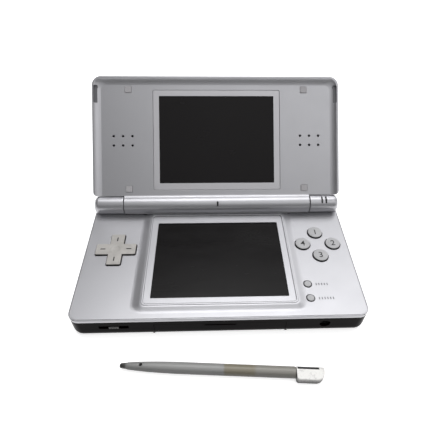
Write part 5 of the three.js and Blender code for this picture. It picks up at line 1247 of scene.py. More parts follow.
def make_control_panel(sizes):
    """The panel with its plateau, bezel, key holes, trough and lugs."""
    body = loft([case_ring(SEAM, SEAM_CHAMFER), case_ring(SEAM + SEAM_CHAMFER, 0),
                 *[case_ring(z, inset) for z, inset in round_top(PANEL_TOP, PANEL_EDGE, steps=6)]])
    join(body, plateau(sizes.plateau_rise), trough_wall(), panel_lip(),
         skirt(0, SKIRT_WALL, SEAM - SKIRT_DROP), *panel_posts())
    top = PANEL_TOP + sizes.plateau_rise
    bezel_top = top - BEZEL_STEP
    window_x, window_y = grown(BEZEL_X, -BEZEL_SIDE), [BEZEL_Y[0] + BEZEL_FRONT, BEZEL_Y[1] - BEZEL_REAR]
    cut(body,
        bar(TROUGH_RADIUS, HINGE, TROUGH_X, "X", BARREL_SIDES),
        block(TROUGH_X, [HINGE_Y, REAR + OVERRUN], [HINGE_Z - TROUGH_RADIUS, 2 * HINGE_Z]),
        *key_holes(sizes, [SEAM - OVERRUN, top + OVERRUN]),
        mouth(BEZEL_X, BEZEL_Y, [bezel_top, top + OVERRUN], BEZEL_CORNER, top, steps=12),
        mouth(window_x, window_y, [SEAM - OVERRUN, bezel_top + OVERRUN], WINDOW_CORNER, bezel_top),
        bezel_groove(bezel_top),
        block(grown(window_x, GLASS_MARGIN + FIT_GAP), grown(window_y, GLASS_MARGIN + FIT_GAP),
              [SEAM - OVERRUN, bezel_top - LEDGE]),
        rim_line(sizes))
    join(body, *both_sides(lug()))
    cut(body, *lens_slots())
    # The trough under the barrel, the groove round the bezel and the line in the panel's edge take the black
    # finish as painted shade.
    skin = piece(body, "control_panel_skin", "base", ["control_panel"], "silver", ink="black_plastic")
    inked(skin, lambda at: in_trough(at) or in_bezel_groove(at, bezel_top) or in_rim_line(at, sizes))


def bezel_groove(top):
    """The fine groove between the bezel and the plateau's edge."""
    span = [top - BEZEL_GROOVE, top + POCKET_GAP]
    out, inset = POCKET_GAP / 3, BEZEL_GROOVE - POCKET_GAP / 3
    return cut(
        plate(grown(BEZEL_X, out), grown(BEZEL_Y, out), span, BEZEL_CORNER, steps=12),
        plate(grown(BEZEL_X, -inset), grown(BEZEL_Y, -inset), grown(span, OVERRUN), BEZEL_CORNER - inset,
              steps=12))


def panel_lip():
    """A lip under the panel, inside the lower case's wall."""
    outer, low = CASE_WALL + FIT_GAP, SEAM - LIP_DEPTH
    return cut(
        case_slab([low, SEAM + FIT_GAP], outer),
        case_slab([low - OVERRUN, PANEL_TOP], outer + LIP_WALL),
        block(SIDES, [SHOULDER_START - SHOULDER_TRAVEL_GAP, REAR], [low - OVERRUN, SEAM]))


def panel_posts():
    """Posts under the panel for the case screws."""
    low = SCREW_RECESS + BOSS_WEB + FIT_GAP
    posts = bars(SCREW_SHANK_RADIUS + FIT_GAP + BOSS_WALL, screw_places(), [low, SEAM + FIT_GAP])
    holes = bars(SCREW_SHANK_RADIUS + POCKET_GAP, screw_places(), [low - OVERRUN, SEAM - LIP_DEPTH])
    return [cut(post, hole) for post, hole in zip(posts, holes)]


def pad_dish():
    """A ball that leaves a shallow dish in the middle of the pad."""
    middle = PAD_TOP + PAD_DISH_RADIUS - PAD_DISH_DEPTH
    bowl = [(PAD_DISH_RADIUS * math.sin(a), middle - PAD_DISH_RADIUS * math.cos(a))
            for a in (math.pi * step / PAD_DISH_STEPS for step in range(1, PAD_DISH_STEPS))]
    return turned([(0, middle - PAD_DISH_RADIUS), *bowl, (0, middle + PAD_DISH_RADIUS)],
                  (PAD_MIDDLE.x, PAD_MIDDLE.y, 0), sides=64)


def on_pad_tick(at, ticks):
    """Whether a place is on the sides or the foot of a tick in the pad."""
    return PAD_TOP - 1.5 * PAD_TICK_DEPTH < at.z < PAD_TOP - PAD_TICK_DEPTH / 4 and any(
        x[0] - POCKET_GAP < at.x < x[1] + POCKET_GAP and y[0] - POCKET_GAP < at.y < y[1] + POCKET_GAP
        for x, y in ticks)


def make_direction_pad():
    """A cross on a disc, with a shallow dish in its middle and a tick on each arm."""
    x, y = PAD_MIDDLE.x, PAD_MIDDLE.y
    arms = [plate(*arm, [PAD_ARM_LOW, PAD_TOP], PAD_CORNER, top=PAD_EDGE, edge_steps=6)
            for arm in pad_outline(0)]
    disc = bar(PAD_DISC_RADIUS, (x, y, 0), [PAD_DISC_LOW, PAD_DISC_LOW + PAD_DISC_THICKNESS])
    pad = join(*arms, disc)
    ticks = [(about(x + dx * PAD_TICK_FROM_MIDDLE, PAD_TICK_LENGTH if dx else PAD_TICK_WIDTH),
              about(y + dy * PAD_TICK_FROM_MIDDLE, PAD_TICK_LENGTH if dy else PAD_TICK_WIDTH))
             for dx, dy in ARMS]
    tick_z = [PAD_TOP - PAD_TICK_DEPTH, PAD_TOP + OVERRUN]
    cut(pad, pad_dish(), *[plate(*tick, tick_z, PAD_TICK_CORNER) for tick in ticks])
    cross = piece(pad, "direction_pad_cross", "dpad", ["direction_pad"], "pad_key", ink="black_plastic")
    inked(cross, lambda at: on_pad_tick(at, ticks))


def key_shape(middle, radius, low, top, edge):
    """A round key with a flange at its foot and a low crown."""
    rounding = [(radius - inset, z) for z, inset in round_top(top - KEY_CROWN, edge, steps=6)]
    crown = [((radius - edge) * (1 - step / CROWN_STEPS), top - KEY_CROWN * (1 - step / CROWN_STEPS) ** 2)
             for step in range(1, CROWN_STEPS + 1)]
    return turned([
        (0, low), (radius + KEY_FLANGE, low), (radius + KEY_FLANGE, low + KEY_FLANGE_THICKNESS),
        (radius, low + KEY_FLANGE_THICKNESS), *rounding, *crown], (middle.x, middle.y, 0), sides=64)


def make_keys(sizes):
    """The four face buttons and the two small ones."""
    keys = [(f"face_button_{place}", f"{place}_key", sizes.key_radius) for place in FACE_BUTTONS]
    keys += [(f"{name}_button", f"{name}_key", sizes.small_key_radius) for name in ("start", "select")]
    for node, body, radius in keys:
        shape = key_shape(box_middle(node), radius, *box_span(node, 2), sizes.key_edge)
        piece(shape, f"{body}_cap", body, [node], "keys")


def numeral(figure, height):
    """A numeral as a thin plate about the origin, its foot at Z 0."""
    curve = bpy.data.curves.new("Numeral", "FONT")
    curve.body, curve.size = figure, height / FIGURE_SHARE
    curve.align_x, curve.extrude, curve.offset = "CENTER", MARK_THICKNESS / 2, MARK_WEIGHT
    text = shown("Numeral", curve)
    mesh = plain_mesh(text)
    drop(text)
    mesh.transform(Matrix.Translation((0, -height / 2, MARK_THICKNESS / 2)))
    return shown("Shape", mesh)


def make_marks(sizes):
    """Numerals on the face buttons, and rows of ticks beside the small ones."""
    for figure, place in enumerate(FACE_BUTTONS, 1):
        middle = box_middle(f"face_button_{place}")
        top = box_span(f"face_button_{place}", 2)[1]
        shape = numeral(str(figure), sizes.mark_height)
        piece(shape, f"{place}_key_mark", f"{place}_key", [], "black_plastic",
              Matrix.Translation((middle.x, middle.y, top + MARK_LIFT - MARK_THICKNESS)), ink="ink")
    for node, count in SMALL_BUTTON_TICKS.items():
        middle = box_middle(node)
        width, height = TICK_SIZE
        tick = plate(about(0, width), about(0, height), [0, MARK_LIFT + MARK_THICKNESS], width / 3)
        place = (middle.x + TICKS_FROM_KEY + (count - 1) * TICK_PITCH / 2, middle.y - TICKS_LOWER,
                 PANEL_TOP - MARK_THICKNESS)
        row = in_rows(tick, count, 1, TICK_PITCH, 0, place, finish("ink"))
        piece(row, f"{node}_ticks", "base", [], "black_plastic")


def slider(plate_length):
    """A ridged knob and the plate behind it. X runs along its travel and Z out of the case."""
    behind = -CASE_WALL - FIT_GAP
    knob = plate(about(0, KNOB_LENGTH), about(0, KNOB_HEIGHT), [behind - KNOB_PLATE / 2, KNOB_PROUD],
                 KNOB_CORNER, top=KNOB_EDGE)
    pitch = KNOB_LENGTH / (KNOB_RIDGES + 1)
    groove = plate(about(0, pitch / 3), about(0, 2 * KNOB_HEIGHT), [KNOB_PROUD - KNOB_RIDGE_DEPTH, OVERRUN],
                   pitch / 8)
    cut(knob, in_rows(groove, KNOB_RIDGES, 1, pitch, 0, (0, 0, 0)))
    back = plate(about(0, plate_length), about(0, KNOB_HEIGHT + 2 * KNOB_PLATE_RISE),
                 [behind - KNOB_PLATE, behind], KNOB_CORNER)
    return join(knob, back)


def make_sliders():
    """The power slider on the right and the volume slider in front."""
    for node, body, axis, wall in (("power_slider", "power_switch", 1, (1, 0, 0)),
                                   ("volume_slider", "volume_control", 0, (0, -1, 0))):
        middle, span = box_middle(node), box_span(node, axis)
        out = Vector(wall)
        turn = Matrix((Vector((0, 0, 1)).cross(out), (0, 0, 1), out)).transposed().to_4x4()
        foot = Vector((SIDE, middle.y, middle.z)) if axis else Vector((middle.x, FRONT, middle.z))
        knob = slider(span[1] - span[0])
        coated(knob, "slider")
        piece(knob, f"{node}_knob", body, [node], "keys", Matrix.Translation(foot) @ turn)


def make_shoulder_buttons():
    """The case's own rear corners, hollow, on knuckles round their pins."""
    inside = case_slab([-OVERRUN, SEAM + OVERRUN], SHOULDER_WALL)
    skin = common(cut(case_body(0, 0, SEAM), inside), shoulder_block(0, 0))
    middle = box_middle("right_shoulder_pin")
    knuckles = [bar(SHOULDER_KNUCKLE_RADIUS, (middle.x, middle.y, 0), [low, low + SHOULDER_KNUCKLE_HEIGHT])
                for low in (SHOULDER_Z[0], SHOULDER_Z[1] - SHOULDER_KNUCKLE_HEIGHT)]
    join(skin, *knuckles)
    cut(skin, bar(SHOULDER_PIN_RADIUS + FIT_GAP, (middle.x, middle.y, 0), [0, SEAM]))
    bevel = skin.modifiers.new("Soft Edges", "BEVEL")
    bevel.width, bevel.segments = SHOULDER_EDGE, 3
    bevel.limit_method, bevel.angle_limit = "ANGLE", SHOULDER_EDGE_ANGLE
    settled(skin)
    for side, shape in (("left", mirrored(skin)), ("right", skin)):
        node = f"{side}_shoulder_button"
        piece(shape, f"{node}_cap", f"{side}_shoulder", [node], "silver")


def make_springs():
    """The coils that return the shoulder buttons."""
    for side in ("left", "right"):
        node = f"{side}_shoulder_spring"
        middle, (left, right), (low, high) = box_middle(node), box_span(node, 0), box_span(node, 2)
        coil = made_by(
            coil_tree, radius=(right - left - SPRING_WIRE) / 2, height=high - low - SPRING_WIRE,
            turns=SPRING_TURNS, wire=SPRING_WIRE, wire_corner=SPRING_WIRE_CORNER,
            place=(middle.x, middle.y, low + SPRING_WIRE / 2), material=finish("steel"))
        piece(coil, f"{node}_coil", "base", [node], "steel")


def make_slot_cover():
    """The blank in the front slot: the case's own face, a hollow plug and a pull."""
    room = plate(grown(CART_X, -FIT_GAP / 2), grown(CART_Z, -FIT_GAP / 2),
                 [FRONT - OVERRUN, FRONT + EDGE_INSET + CASE_WALL], BLANK_CORNER, steps=4)
    room.data.transform(Matrix(((1, 0, 0, 0), (0, 0, 1, 0), (0, 1, 0, 0), (0, 0, 0, 1))))
    room.data.flip_normals()
    face = common(case_body(0, 0, SEAM), room)
    plug_x, plug_z = grown(CART_X, -BLANK_SETBACK), grown(CART_Z, -BLANK_SETBACK)
    plug_end = FRONT + CASE_WALL + BLANK_DEPTH
    join(face, block(plug_x, [FRONT + CASE_WALL, plug_end], plug_z))
    hollow = block(grown(plug_x, -BLANK_WALL), [FRONT + EDGE_INSET + CASE_WALL, plug_end + OVERRUN],
                   grown(plug_z, -BLANK_WALL))
    pull = block(about(0, BLANK_PULL[0]), [FRONT - OVERRUN, FRONT + BLANK_PULL[2]],
                 [plug_z[1] - BLANK_PULL[1], plug_z[1]])
    cut(face, hollow, pull)
    piece(face, "slot_blank_cover", "slot_blank", ["slot_cover"], "dark_case")


def screw(shank_length):
    """A screw with its head downwards at Z 0, its head rounded and a cross cut into it."""
    head, shank, edge = SCREW_HEAD_RADIUS, SCREW_SHANK_RADIUS, SCREW_HEAD_HEIGHT / 3
    end = SCREW_HEAD_HEIGHT + shank_length
    thread = [(shank * (1 if step % 2 else THREAD_SHARE),
               SCREW_HEAD_HEIGHT + shank_length * step / THREAD_STEPS) for step in range(1, THREAD_STEPS)]
    shape = turned([
        (0, 0), (head - edge, 0), (head - edge / 3, edge / 3), (head, edge), (head, SCREW_HEAD_HEIGHT),
        (shank, SCREW_HEAD_HEIGHT), *thread, (shank * THREAD_SHARE, end), (0, end)], sides=32)
    long, wide, deep = CROSS
    arms = [block(about(0, x), about(0, y), [-OVERRUN, deep]) for x, y in ((long, wide), (wide, long))]
    return cut(shape, join(*arms))


def make_screws():
    """The four case screws, as one piece."""
    low, high = box_span("case_screw_front_left", 2)
    rows = in_rows(screw(high - low - SCREW_HEAD_HEIGHT), 2, 2, 2 * SCREW_X, SCREW_Y[1] - SCREW_Y[0],
                   (0, sum(SCREW_Y) / 2, low), finish("steel"))
    nodes = [f"case_screw_{end}_{side}" for end in ("front", "rear") for side in ("left", "right")]
    piece(rows, "case_screws", "base", nodes, "steel")


def make_touch_panel():
    """The glass over the lower screen."""
    x, y, z = (box_span("touch_panel", axis) for axis in range(3))
    glass = plate(x, y, z, WINDOW_CORNER, top=TOUCH_EDGE)
    piece(glass, "touch_panel_glass", "base", ["touch_panel"], "screen")


# Lid


def lid_ring(z, inset, near=None):
    """The lid's outline at a height. near is the inset of its edge by the hinge."""
    near = inset if near is None else near
    far_corner, near_corner = (max(r - inset, r / 4) for r in (CORNER_RADIUS, LID_NEAR_CORNER))
    return ring(grown(SIDES, -inset), [LID_NEAR + near, LID_LENGTH - inset], z, far_corner, near_corner,
                steps=16)


def barrel_bores():
    """Tools for the hollow of the barrel, for its pins and for the lugs beside it."""
    inner = BARREL_HALF - BARREL_END_WALL
    return [bar(BARREL_BORE, AXIS, across(inner), "X"),
            bar(PIN_BORE, AXIS, grown(BARREL_X, OVERRUN), "X"),
            *both_sides(bar(BARREL_RADIUS + 2 * FIT_GAP, AXIS, [BARREL_HALF, SIDE + OVERRUN], "X",
                            BARREL_SIDES))]


def lid_recess():
    """A tool for the recess inside the lid's rim, with its curved slope."""
    rings = []
    for up, out in through(SLOPE_CURVE, steps=5):
        slope = LID_RIM_WIDTH + LID_SLOPE * (1 - out)
        rings.append(ring(grown(SIDES, -slope), [-LID_LENGTH / 2, LID_LENGTH - slope],
                          LID_FACE + (LID_RIM - LID_FACE) * up, LID_RECESS_CORNER + out * MM, steps=16))
    top = [(x, y, LID_RIM + OVERRUN) for x, y, _ in rings[-1]]
    return loft([*rings, top])


def barrel_ramp():
    """A smooth ramp from the face up on to the barrel."""
    start = (BARREL_RADIUS * math.cos(RAMP_TOUCH), BARREL_RADIUS * math.sin(RAMP_TOUCH))
    bend = start[0] + (start[1] - LID_FACE) * math.tan(RAMP_TOUCH)
    profile = [(0, FRAME_LOW), (RAMP_END, FRAME_LOW)]
    for step in range(RAMP_STEPS + 1):
        t = step / RAMP_STEPS
        profile.append(tuple(
            (1 - t) ** 2 * a + 2 * t * (1 - t) * b + t**2 * c
            for a, b, c in zip((RAMP_END, LID_FACE), (bend, LID_FACE), start)))
    profile.append((0, BARREL_RADIUS / 2))
    return loft([[(x, y, z) for y, z in profile] for x in BARREL_X])


def barrel_half(radius, low, high):
    """The barrel's part between two heights, with rounded ends."""
    rounded = [(radius - inset, x) for x, inset in round_foot(-BARREL_HALF, LUG_EDGE, LUG_EDGE, steps=3)]
    other = [(r, -x) for r, x in reversed(rounded)]
    whole = turned([(0, -BARREL_HALF), *rounded, *other, (0, BARREL_HALF)], axis="X", sides=128)
    return common(whole, block(SIDES, SIDES, [low, high]))


def speaker_holes(sizes):
    """Tools for the two groups of speaker holes."""
    span = [LENS_LEDGE_LOW - OVERRUN, LID_FACE + OVERRUN]
    return [in_rows(
        round_mouth((0, 0, 0), sizes.speaker_hole_radius, span, LID_FACE, sides=24),
        sizes.speaker_columns, sizes.speaker_rows, sizes.speaker_hole_pitch, sizes.speaker_hole_pitch,
        (side * SPEAKER_X, SPEAKER_Y, 0)) for side in (-1, 1)]


def at_bumpers(shape, material=None):
    """Sets a shape out where the four bumpers stand."""
    return in_rows(shape, 2, 2, 2 * BUMPER_X, BUMPER_Y[1] - BUMPER_Y[0], (0, sum(BUMPER_Y) / 2, 0), material)


def in_notch(at):
    """Whether a place on the lid is in a finger notch."""
    return (-NOTCH_WIDTH - FIT_GAP < abs(at.x) - SIDE + NOTCH_FROM_SIDE < FIT_GAP
            and NOTCH_Y[0] - FIT_GAP < at.y < NOTCH_Y[1] + FIT_GAP
            and -NOTCH_DEPTH - FIT_GAP < at.z - LID_RIM < -LID_RIM_EDGE / 4)


def beside_lug(at):
    """Whether a place on the lid faces the gap round a lug."""
    return abs(at.x) > BARREL_HALF - FIT_GAP and math.hypot(at.y, at.z) < BARREL_RADIUS + LUG_GAP_REACH


def make_lid_frame(sizes):
    """The lid's inner half: rim, recess, barrel, speaker holes, pockets and notches."""
    body = loft([lid_ring(FRAME_LOW, SEAM_CHAMFER), lid_ring(FRAME_LOW + SEAM_CHAMFER, 0),
                 *[lid_ring(z, inset) for z, inset in round_top(LID_RIM, LID_RIM_EDGE, steps=6)]])
    cut(body, lid_recess())
    join(body,
         block(BARREL_X, [0, LID_NEAR + LID_EDGE_INSET], [FRAME_LOW, LID_FACE]),
         barrel_ramp(),
         barrel_half(BARREL_RADIUS, FRAME_LOW, 2 * BARREL_RADIUS),
         block(grown(LENS_X, LENS_LEDGE_THICKNESS), grown(LENS_Y, LENS_LEDGE_THICKNESS),
               [LENS_LEDGE_LOW, FRAME_LOW + FIT_GAP]),
         lid_lip())
    pocket = about(0, sizes.bumper_size + 2 * POCKET_GAP)
    notch = plate([SIDE - NOTCH_FROM_SIDE - NOTCH_WIDTH, SIDE - NOTCH_FROM_SIDE], NOTCH_Y,
                  [LID_RIM - NOTCH_DEPTH, LID_RIM + OVERRUN], NOTCH_CORNER, steps=4)
    cut(body,
        mouth(grown(LENS_X, POCKET_GAP), grown(LENS_Y, POCKET_GAP),
              [LENS_BASE - FIT_GAP, LID_FACE + OVERRUN], LENS_CORNER, LID_FACE),
        block(grown(LENS_X, -LENS_LEDGE_WIDTH), grown(LENS_Y, -LENS_LEDGE_WIDTH),
              [LENS_LEDGE_LOW - OVERRUN, LID_FACE + OVERRUN]),
        *speaker_holes(sizes),
        at_bumpers(plate(pocket, pocket, [LID_FACE - BUMPER_POCKET_DEPTH, LID_FACE + OVERRUN],
                         BUMPER_POCKET_CORNER, steps=4)),
        plate(about(0, MIC_SLOT[0]), about(0, MIC_SLOT[1]), [BARREL_BORE / 2, LID_BACK], MIC_CORNERS[0]),
        *both_sides(notch), *barrel_bores())
    # The finger notches and the faces beside the lugs take the printed marks' finish as painted shade.
    skin = piece(body, "lid_frame_skin", "lid", ["lid_frame"], "silver", LID_PLACE, ink="ink")
    inked(skin, lambda at: in_notch(at) or beside_lug(at), LID_PLACE)
    mesh = plate(about(0, MIC_SLOT[0] - POCKET_GAP), about(0, MIC_SLOT[1] - POCKET_GAP),
                 [BARREL_BORE + POCKET_GAP, BARREL_RADIUS - 2 * POCKET_GAP], MIC_CORNERS[1])
    piece(mesh, "microphone_mesh", "lid", [], "black_plastic", LID_PLACE)


def lid_lip():
    """A lip under the lid's frame, inside the shell's wall."""
    inset = LID_WALL + FIT_GAP
    span = [FRAME_LOW - LID_LIP_DEPTH, FRAME_LOW + FIT_GAP]
    return cut(
        loft([lid_ring(z, inset) for z in span]),
        loft([lid_ring(z, inset + LID_LIP_WALL) for z in grown(span, OVERRUN)]),
        block(SIDES, [0, LENS_Y[0]], [span[0] - OVERRUN, FRAME_LOW]))


def make_lid_shell():
    """The lid's outer half, with the back of the barrel."""
    foot = [lid_ring(z, inset) for z, inset in round_foot(-LID_BACK, LID_EDGE_RISE, LID_EDGE_INSET, steps=12)]
    body = loft([*foot, lid_ring(LID_SEAM - SEAM_CHAMFER, 0), lid_ring(LID_SEAM, SEAM_CHAMFER)])
    neck = block(BARREL_X, [0, LID_NEAR + LID_EDGE_INSET], [-LID_BACK, LID_SEAM])
    join(body, neck, barrel_half(LID_BACK, -2 * LID_BACK, LID_SEAM))
    cavity = loft([lid_ring(z, LID_WALL, LID_WALL) for z in (-LID_BACK + LID_WALL, LID_SEAM + OVERRUN)])
    cut(body, cavity, *barrel_bores())
    piece(body, "lid_shell_skin", "lid", ["lid_shell"], "silver", LID_PLACE)


def make_upper_lens():
    """The plate over the upper screen, with the dark window in it."""
    lens = plate(LENS_X, LENS_Y, [LENS_BASE, LID_FACE], LENS_CORNER, top=LENS_EDGE)
    window_y = [LENS_Y[0] + LENS_NEAR_BORDER, LENS_Y[1] - LENS_FAR_BORDER]
    with_window(lens, grown(LENS_X, -LENS_BORDER), window_y, LID_FACE)
    piece(lens, "upper_lens_plate", "lid", ["upper_screen_lens"], "lens", LID_PLACE, ink="upper_screen")


def with_window(lens, window_x, window_y, top):
    """Lets a window into the lens's flat top, with its face on the second material."""
    mesh = lens.data
    flat = max((f for f in mesh.polygons if f.normal.z > 0.9), key=lambda f: f.area)
    corners = list(flat.vertices)
    points = [tuple(v.co) for v in mesh.vertices]
    faces = [tuple(f.vertices) for f in mesh.polygons if f.index != flat.index]
    inner = ring(window_x, window_y, top, WINDOW_CORNER, steps=8)
    count, start = len(corners), len(points)
    if len(inner) != count:
        raise ValueError("The window's outline and the lens's have different numbers of points")
    points += inner
    for i in range(count):
        j = (i + 1) % count
        faces.append((corners[i], corners[j], start + j, start + i))
    faces.append(tuple(range(start, start + count)))
    mesh.clear_geometry()
    mesh.from_pydata(points, [], faces)
    mesh.polygons[len(faces) - 1].material_index = 1


def make_bumpers(sizes):
    """The four rubber bumpers, each standing proud of its pocket."""
    square = about(0, sizes.bumper_size)
    bumper = plate(square, square, [LID_FACE - BUMPER_POCKET_DEPTH + POCKET_GAP, LID_FACE + BUMPER_PROUD],
                   BUMPER_CORNER, top=BUMPER_EDGE, steps=4)
    nodes = [f"{row}_{side}_bumper" for row in ("lower", "upper") for side in ("left", "right")]
    piece(at_bumpers(bumper, finish("rubber")), "lid_bumpers", "lid", nodes, "rubber", LID_PLACE)


# Stylus


def make_stylus():
    """The shaft with its nib, taper and hole, and the cap with its inlay."""
    tip = -STYLUS_LENGTH / 2
    nose_length = STYLUS_TIP_RADIUS * STYLUS_NOSE_SHARE
    cap_start = STYLUS_LENGTH / 2 - STYLUS_CAP_LENGTH
    nose = [(STYLUS_TIP_RADIUS * math.sin(a), tip + nose_length - nose_length * math.cos(a))
            for a in quarter(8)]
    taper = [(STYLUS_RADIUS * size, tip + STYLUS_TAPER_LENGTH * along)
             for along, size in through(STYLUS_TAPER, steps=6)]
    nib_end = tip + STYLUS_NIB_LENGTH
    neck = taper[0][0] - STYLUS_NIB_STEP
    end = cap_start - FIT_GAP
    shaft = turned([
        *nose, (neck, nib_end - STYLUS_NIB_STEP), (neck, nib_end), *taper[1:],
        (STYLUS_RADIUS, end - STYLUS_NIB_STEP), (STYLUS_RADIUS - STYLUS_NIB_STEP, end), (0, end)],
        axis="X", sides=96)
    cut(shaft, bar(STYLUS_HOLE_RADIUS, (tip + STYLUS_HOLE_FROM_TIP, 0, 0), [0, 2 * STYLUS_RADIUS]))
    piece(shaft, "stylus_barrel", "stylus", ["stylus_shaft"], "stylus", STYLUS_PLACE)
    cap, inlay = stylus_cap(cap_start)
    piece(cap, "stylus_cap_moulding", "stylus", ["stylus_cap"], "stylus_cap", STYLUS_PLACE)
    piece(inlay, "stylus_cap_inlay", "stylus", [], "black_plastic", STYLUS_PLACE)


def cap_outline(start, z, inset):
    """The cap's outline at a height, with an inset at its front and its end."""
    end, front = start + STYLUS_CAP_LENGTH - inset, STYLUS_RADIUS - STYLUS_CAP_WIDTH + inset
    small, large = STYLUS_CAP_SMALL_CORNER, STYLUS_CAP_CORNER
    return round_corners([(start, front, small), (end, front, large), (end, STYLUS_RADIUS, small),
                          (start, STYLUS_RADIUS, small / 3)], z, steps=10)


def stylus_cap(start):
    """A cap as round as the shaft at its rear, with a wing to the front and a dark inlay along its rear."""
    levels = [*round_foot(-STYLUS_RADIUS, STYLUS_CAP_EDGE, STYLUS_CAP_EDGE, steps=8), (0, 0),
              (STYLUS_RADIUS / 3, 0), *round_top(STYLUS_RADIUS, STYLUS_CAP_TOP_EDGE, steps=6)]
    cap = loft([cap_outline(start, z, inset) for z, inset in levels])
    beam = [start - OVERRUN, start + STYLUS_CAP_LENGTH + OVERRUN]
    corner = block(beam, [0, STYLUS_RADIUS + OVERRUN], across(2 * OVERRUN + STYLUS_RADIUS))
    cut(cap, cut(corner, bar(STYLUS_RADIUS, AXIS, grown(beam, MM), "X", BARREL_SIDES)))
    room = ([start + STYLUS_CAP_TOP_EDGE, start + STYLUS_CAP_LENGTH - STYLUS_INLAY_SHORT],
            [STYLUS_INLAY_FROM_AXIS, STYLUS_RADIUS + OVERRUN], [STYLUS_INLAY_LOW, STYLUS_RADIUS + OVERRUN])
    cut(cap, block(*room))
    return cap, common(block(*room), bar(STYLUS_RADIUS - MOUTH_ROUND / 2, AXIS, beam, "X", BARREL_SIDES))


# Carried-over solids


def dress_solids():
    """Gives every solid that keeps its own mesh the finish of its slot."""
    slots = {part["node"]: part["material_slot"] for part in FRAME["record"]["subparts"]}
    for name, node in FRAME["nodes"].items():
        coated(node, slots[name])


# Stage


def seen_by(tree, *rays):
    """1 where one of these kinds of ray arrives, and 0 elsewhere."""
    outputs = tree.nodes.new("ShaderNodeLightPath").outputs
    seen = outputs[rays[0]]
    for ray in rays[1:]:
        seen = maths(tree, "MAXIMUM", seen, outputs[ray])
    return seen


def make_floor(colours):
    """A floor that looks white, and throws little light back on the object."""
    floor = block(across(FLOOR_REACH), across(FLOOR_REACH), [-FLOOR_THICKNESS, 0])
    floor.name = "floor"
    material, tree, shader, _ = new_finish("Floor", {
        "Roughness": 0.9, "Specular IOR Level": 0.1, "Emission Color": (1, 1, 1, 1)})
    seen = seen_by(tree, "Is Camera Ray", "Is Glossy Ray", "Is Transmission Ray")
    colour_seen = shaded(tree, colours.floor, spread(tree, seen, FLOOR_BOUNCE, 1.0))
    tree.links.new(colour_seen, shader.inputs["Base Color"])
    tree.links.new(maths(tree, "MULTIPLY", seen, FLOOR_GLOW), shader.inputs["Emission Strength"])
    floor.data.materials.append(material)


def make_sky(level):
    """A world of pale walls and soft boxes, which the camera sees as white."""
    world = bpy.data.worlds.new("Studio")
    bpy.context.scene.world = world
    world.use_nodes = True
    tree = world.node_tree
    direction = tree.nodes.new("ShaderNodeTexCoord").outputs["Generated"]
    right, back, up = linked(tree, "ShaderNodeSeparateXYZ", {0: direction}).outputs
    sides = maths(tree, "MULTIPLY", spread(tree, back, FRONT_WALL, 1.0, *FRONT_WALL_ENDS),
                  spread(tree, right, 1.0, RIGHT_WALL, *RIGHT_WALL_ENDS))
    value = maths(tree, "MULTIPLY", spread(tree, up, WALL_LEVEL, SKY_LEVEL, *WALL_ENDS), sides)
    for place, focus, bright in SOFT_BOXES:
        facing = linked(tree, "ShaderNodeVectorMath", {0: direction, 1: Vector(place).normalized()},
                        operation="DOT_PRODUCT").outputs["Value"]
        soft = maths(tree, "POWER", spread(tree, facing, 0.0, 1.0), focus)
        value = maths(tree, "ADD", maths(tree, "MULTIPLY", soft, bright), value)
    value = maths(tree, "MAXIMUM", value, seen_by(tree, "Is Camera Ray"))
    sky = tree.nodes["Background"]
    tree.links.new(shaded(tree, (1.0, 1.0, 1.0), value), sky.inputs["Color"])
    sky.inputs["Strength"].default_value = level


def make_lamp(level):
    """A broad, soft sun."""
    lamp = bpy.data.lights.new("Key Lamp", "SUN")
    lamp.energy, lamp.angle = level, KEY_LAMP_SPREAD
    shown("Key Lamp", lamp).rotation_euler = (-Vector(KEY_LAMP_FROM)).to_track_quat("-Z", "Y").to_euler()


def make_camera():
    """The camera at the photograph's place, with its yaw, its pitch and then its roll."""
    camera = bpy.data.cameras.new("Camera")
    camera.sensor_width, camera.lens, camera.shift_x = CAMERA_SENSOR, CAMERA_LENS, CAMERA_SHIFT
    camera.clip_start = CAMERA_CLIP
    forward = Vector((
        math.sin(CAMERA_YAW) * math.cos(CAMERA_PITCH), math.cos(CAMERA_YAW) * math.cos(CAMERA_PITCH),
        -math.sin(CAMERA_PITCH)))
    right = Vector((math.cos(CAMERA_YAW), -math.sin(CAMERA_YAW), 0))
    down = forward.cross(right)
    sideways = math.cos(CAMERA_ROLL) * right + math.sin(CAMERA_ROLL) * down
    below = math.cos(CAMERA_ROLL) * down - math.sin(CAMERA_ROLL) * right
    eye = shown("Camera", camera)
    turn = Matrix((sideways, -below, -forward)).transposed().to_4x4()
    eye.matrix_world = Matrix.Translation(CAMERA_PLACE) @ turn
    bpy.context.scene.camera = eye


def make_stage(colours, stage):
    """The floor, the sky, the lamp and the camera, with colours shown as they are."""
    bpy.context.scene.view_settings.view_transform = "Standard"
    make_floor(colours)
    make_sky(stage.sky)
    make_lamp(stage.key_lamp)
    make_camera()


class CONSOLE_OT_solids(bpy.types.Operator):
    """Give the solids that keep their own mesh their finishes"""

    bl_idname = "console.solids"
    bl_label = "Solids"

    def execute(self, context):
        dress_solids()
        return {"FINISHED"}


class CONSOLE_OT_lower_case(bpy.types.Operator):
    """Build the dark lower case, with its bosses and openings"""

    bl_idname = "console.lower_case"
    bl_label = "Lower Case"

    def execute(self, context):
        make_lower_case()
        return {"FINISHED"}


class CONSOLE_OT_control_panel(bpy.types.Operator):
    """Build the panel with its plateau, its key holes and the hinge lugs"""

    bl_idname = "console.control_panel"
    bl_label = "Control Panel"

    def execute(self, context):
        make_control_panel(context.scene.console_sizes)
        return {"FINISHED"}


class CONSOLE_OT_indicator_lenses(bpy.types.Operator):
    """Build the two indicator lenses in the right lug"""

    bl_idname = "console.indicator_lenses"
    bl_label = "Indicator Lenses"

    def execute(self, context):
        make_indicator_lenses()
        return {"FINISHED"}


class CONSOLE_OT_touch_panel(bpy.types.Operator):
    """Build the glass of the lower screen"""

    bl_idname = "console.touch_panel"
    bl_label = "Touch Panel"

    def execute(self, context):
        make_touch_panel()
        return {"FINISHED"}


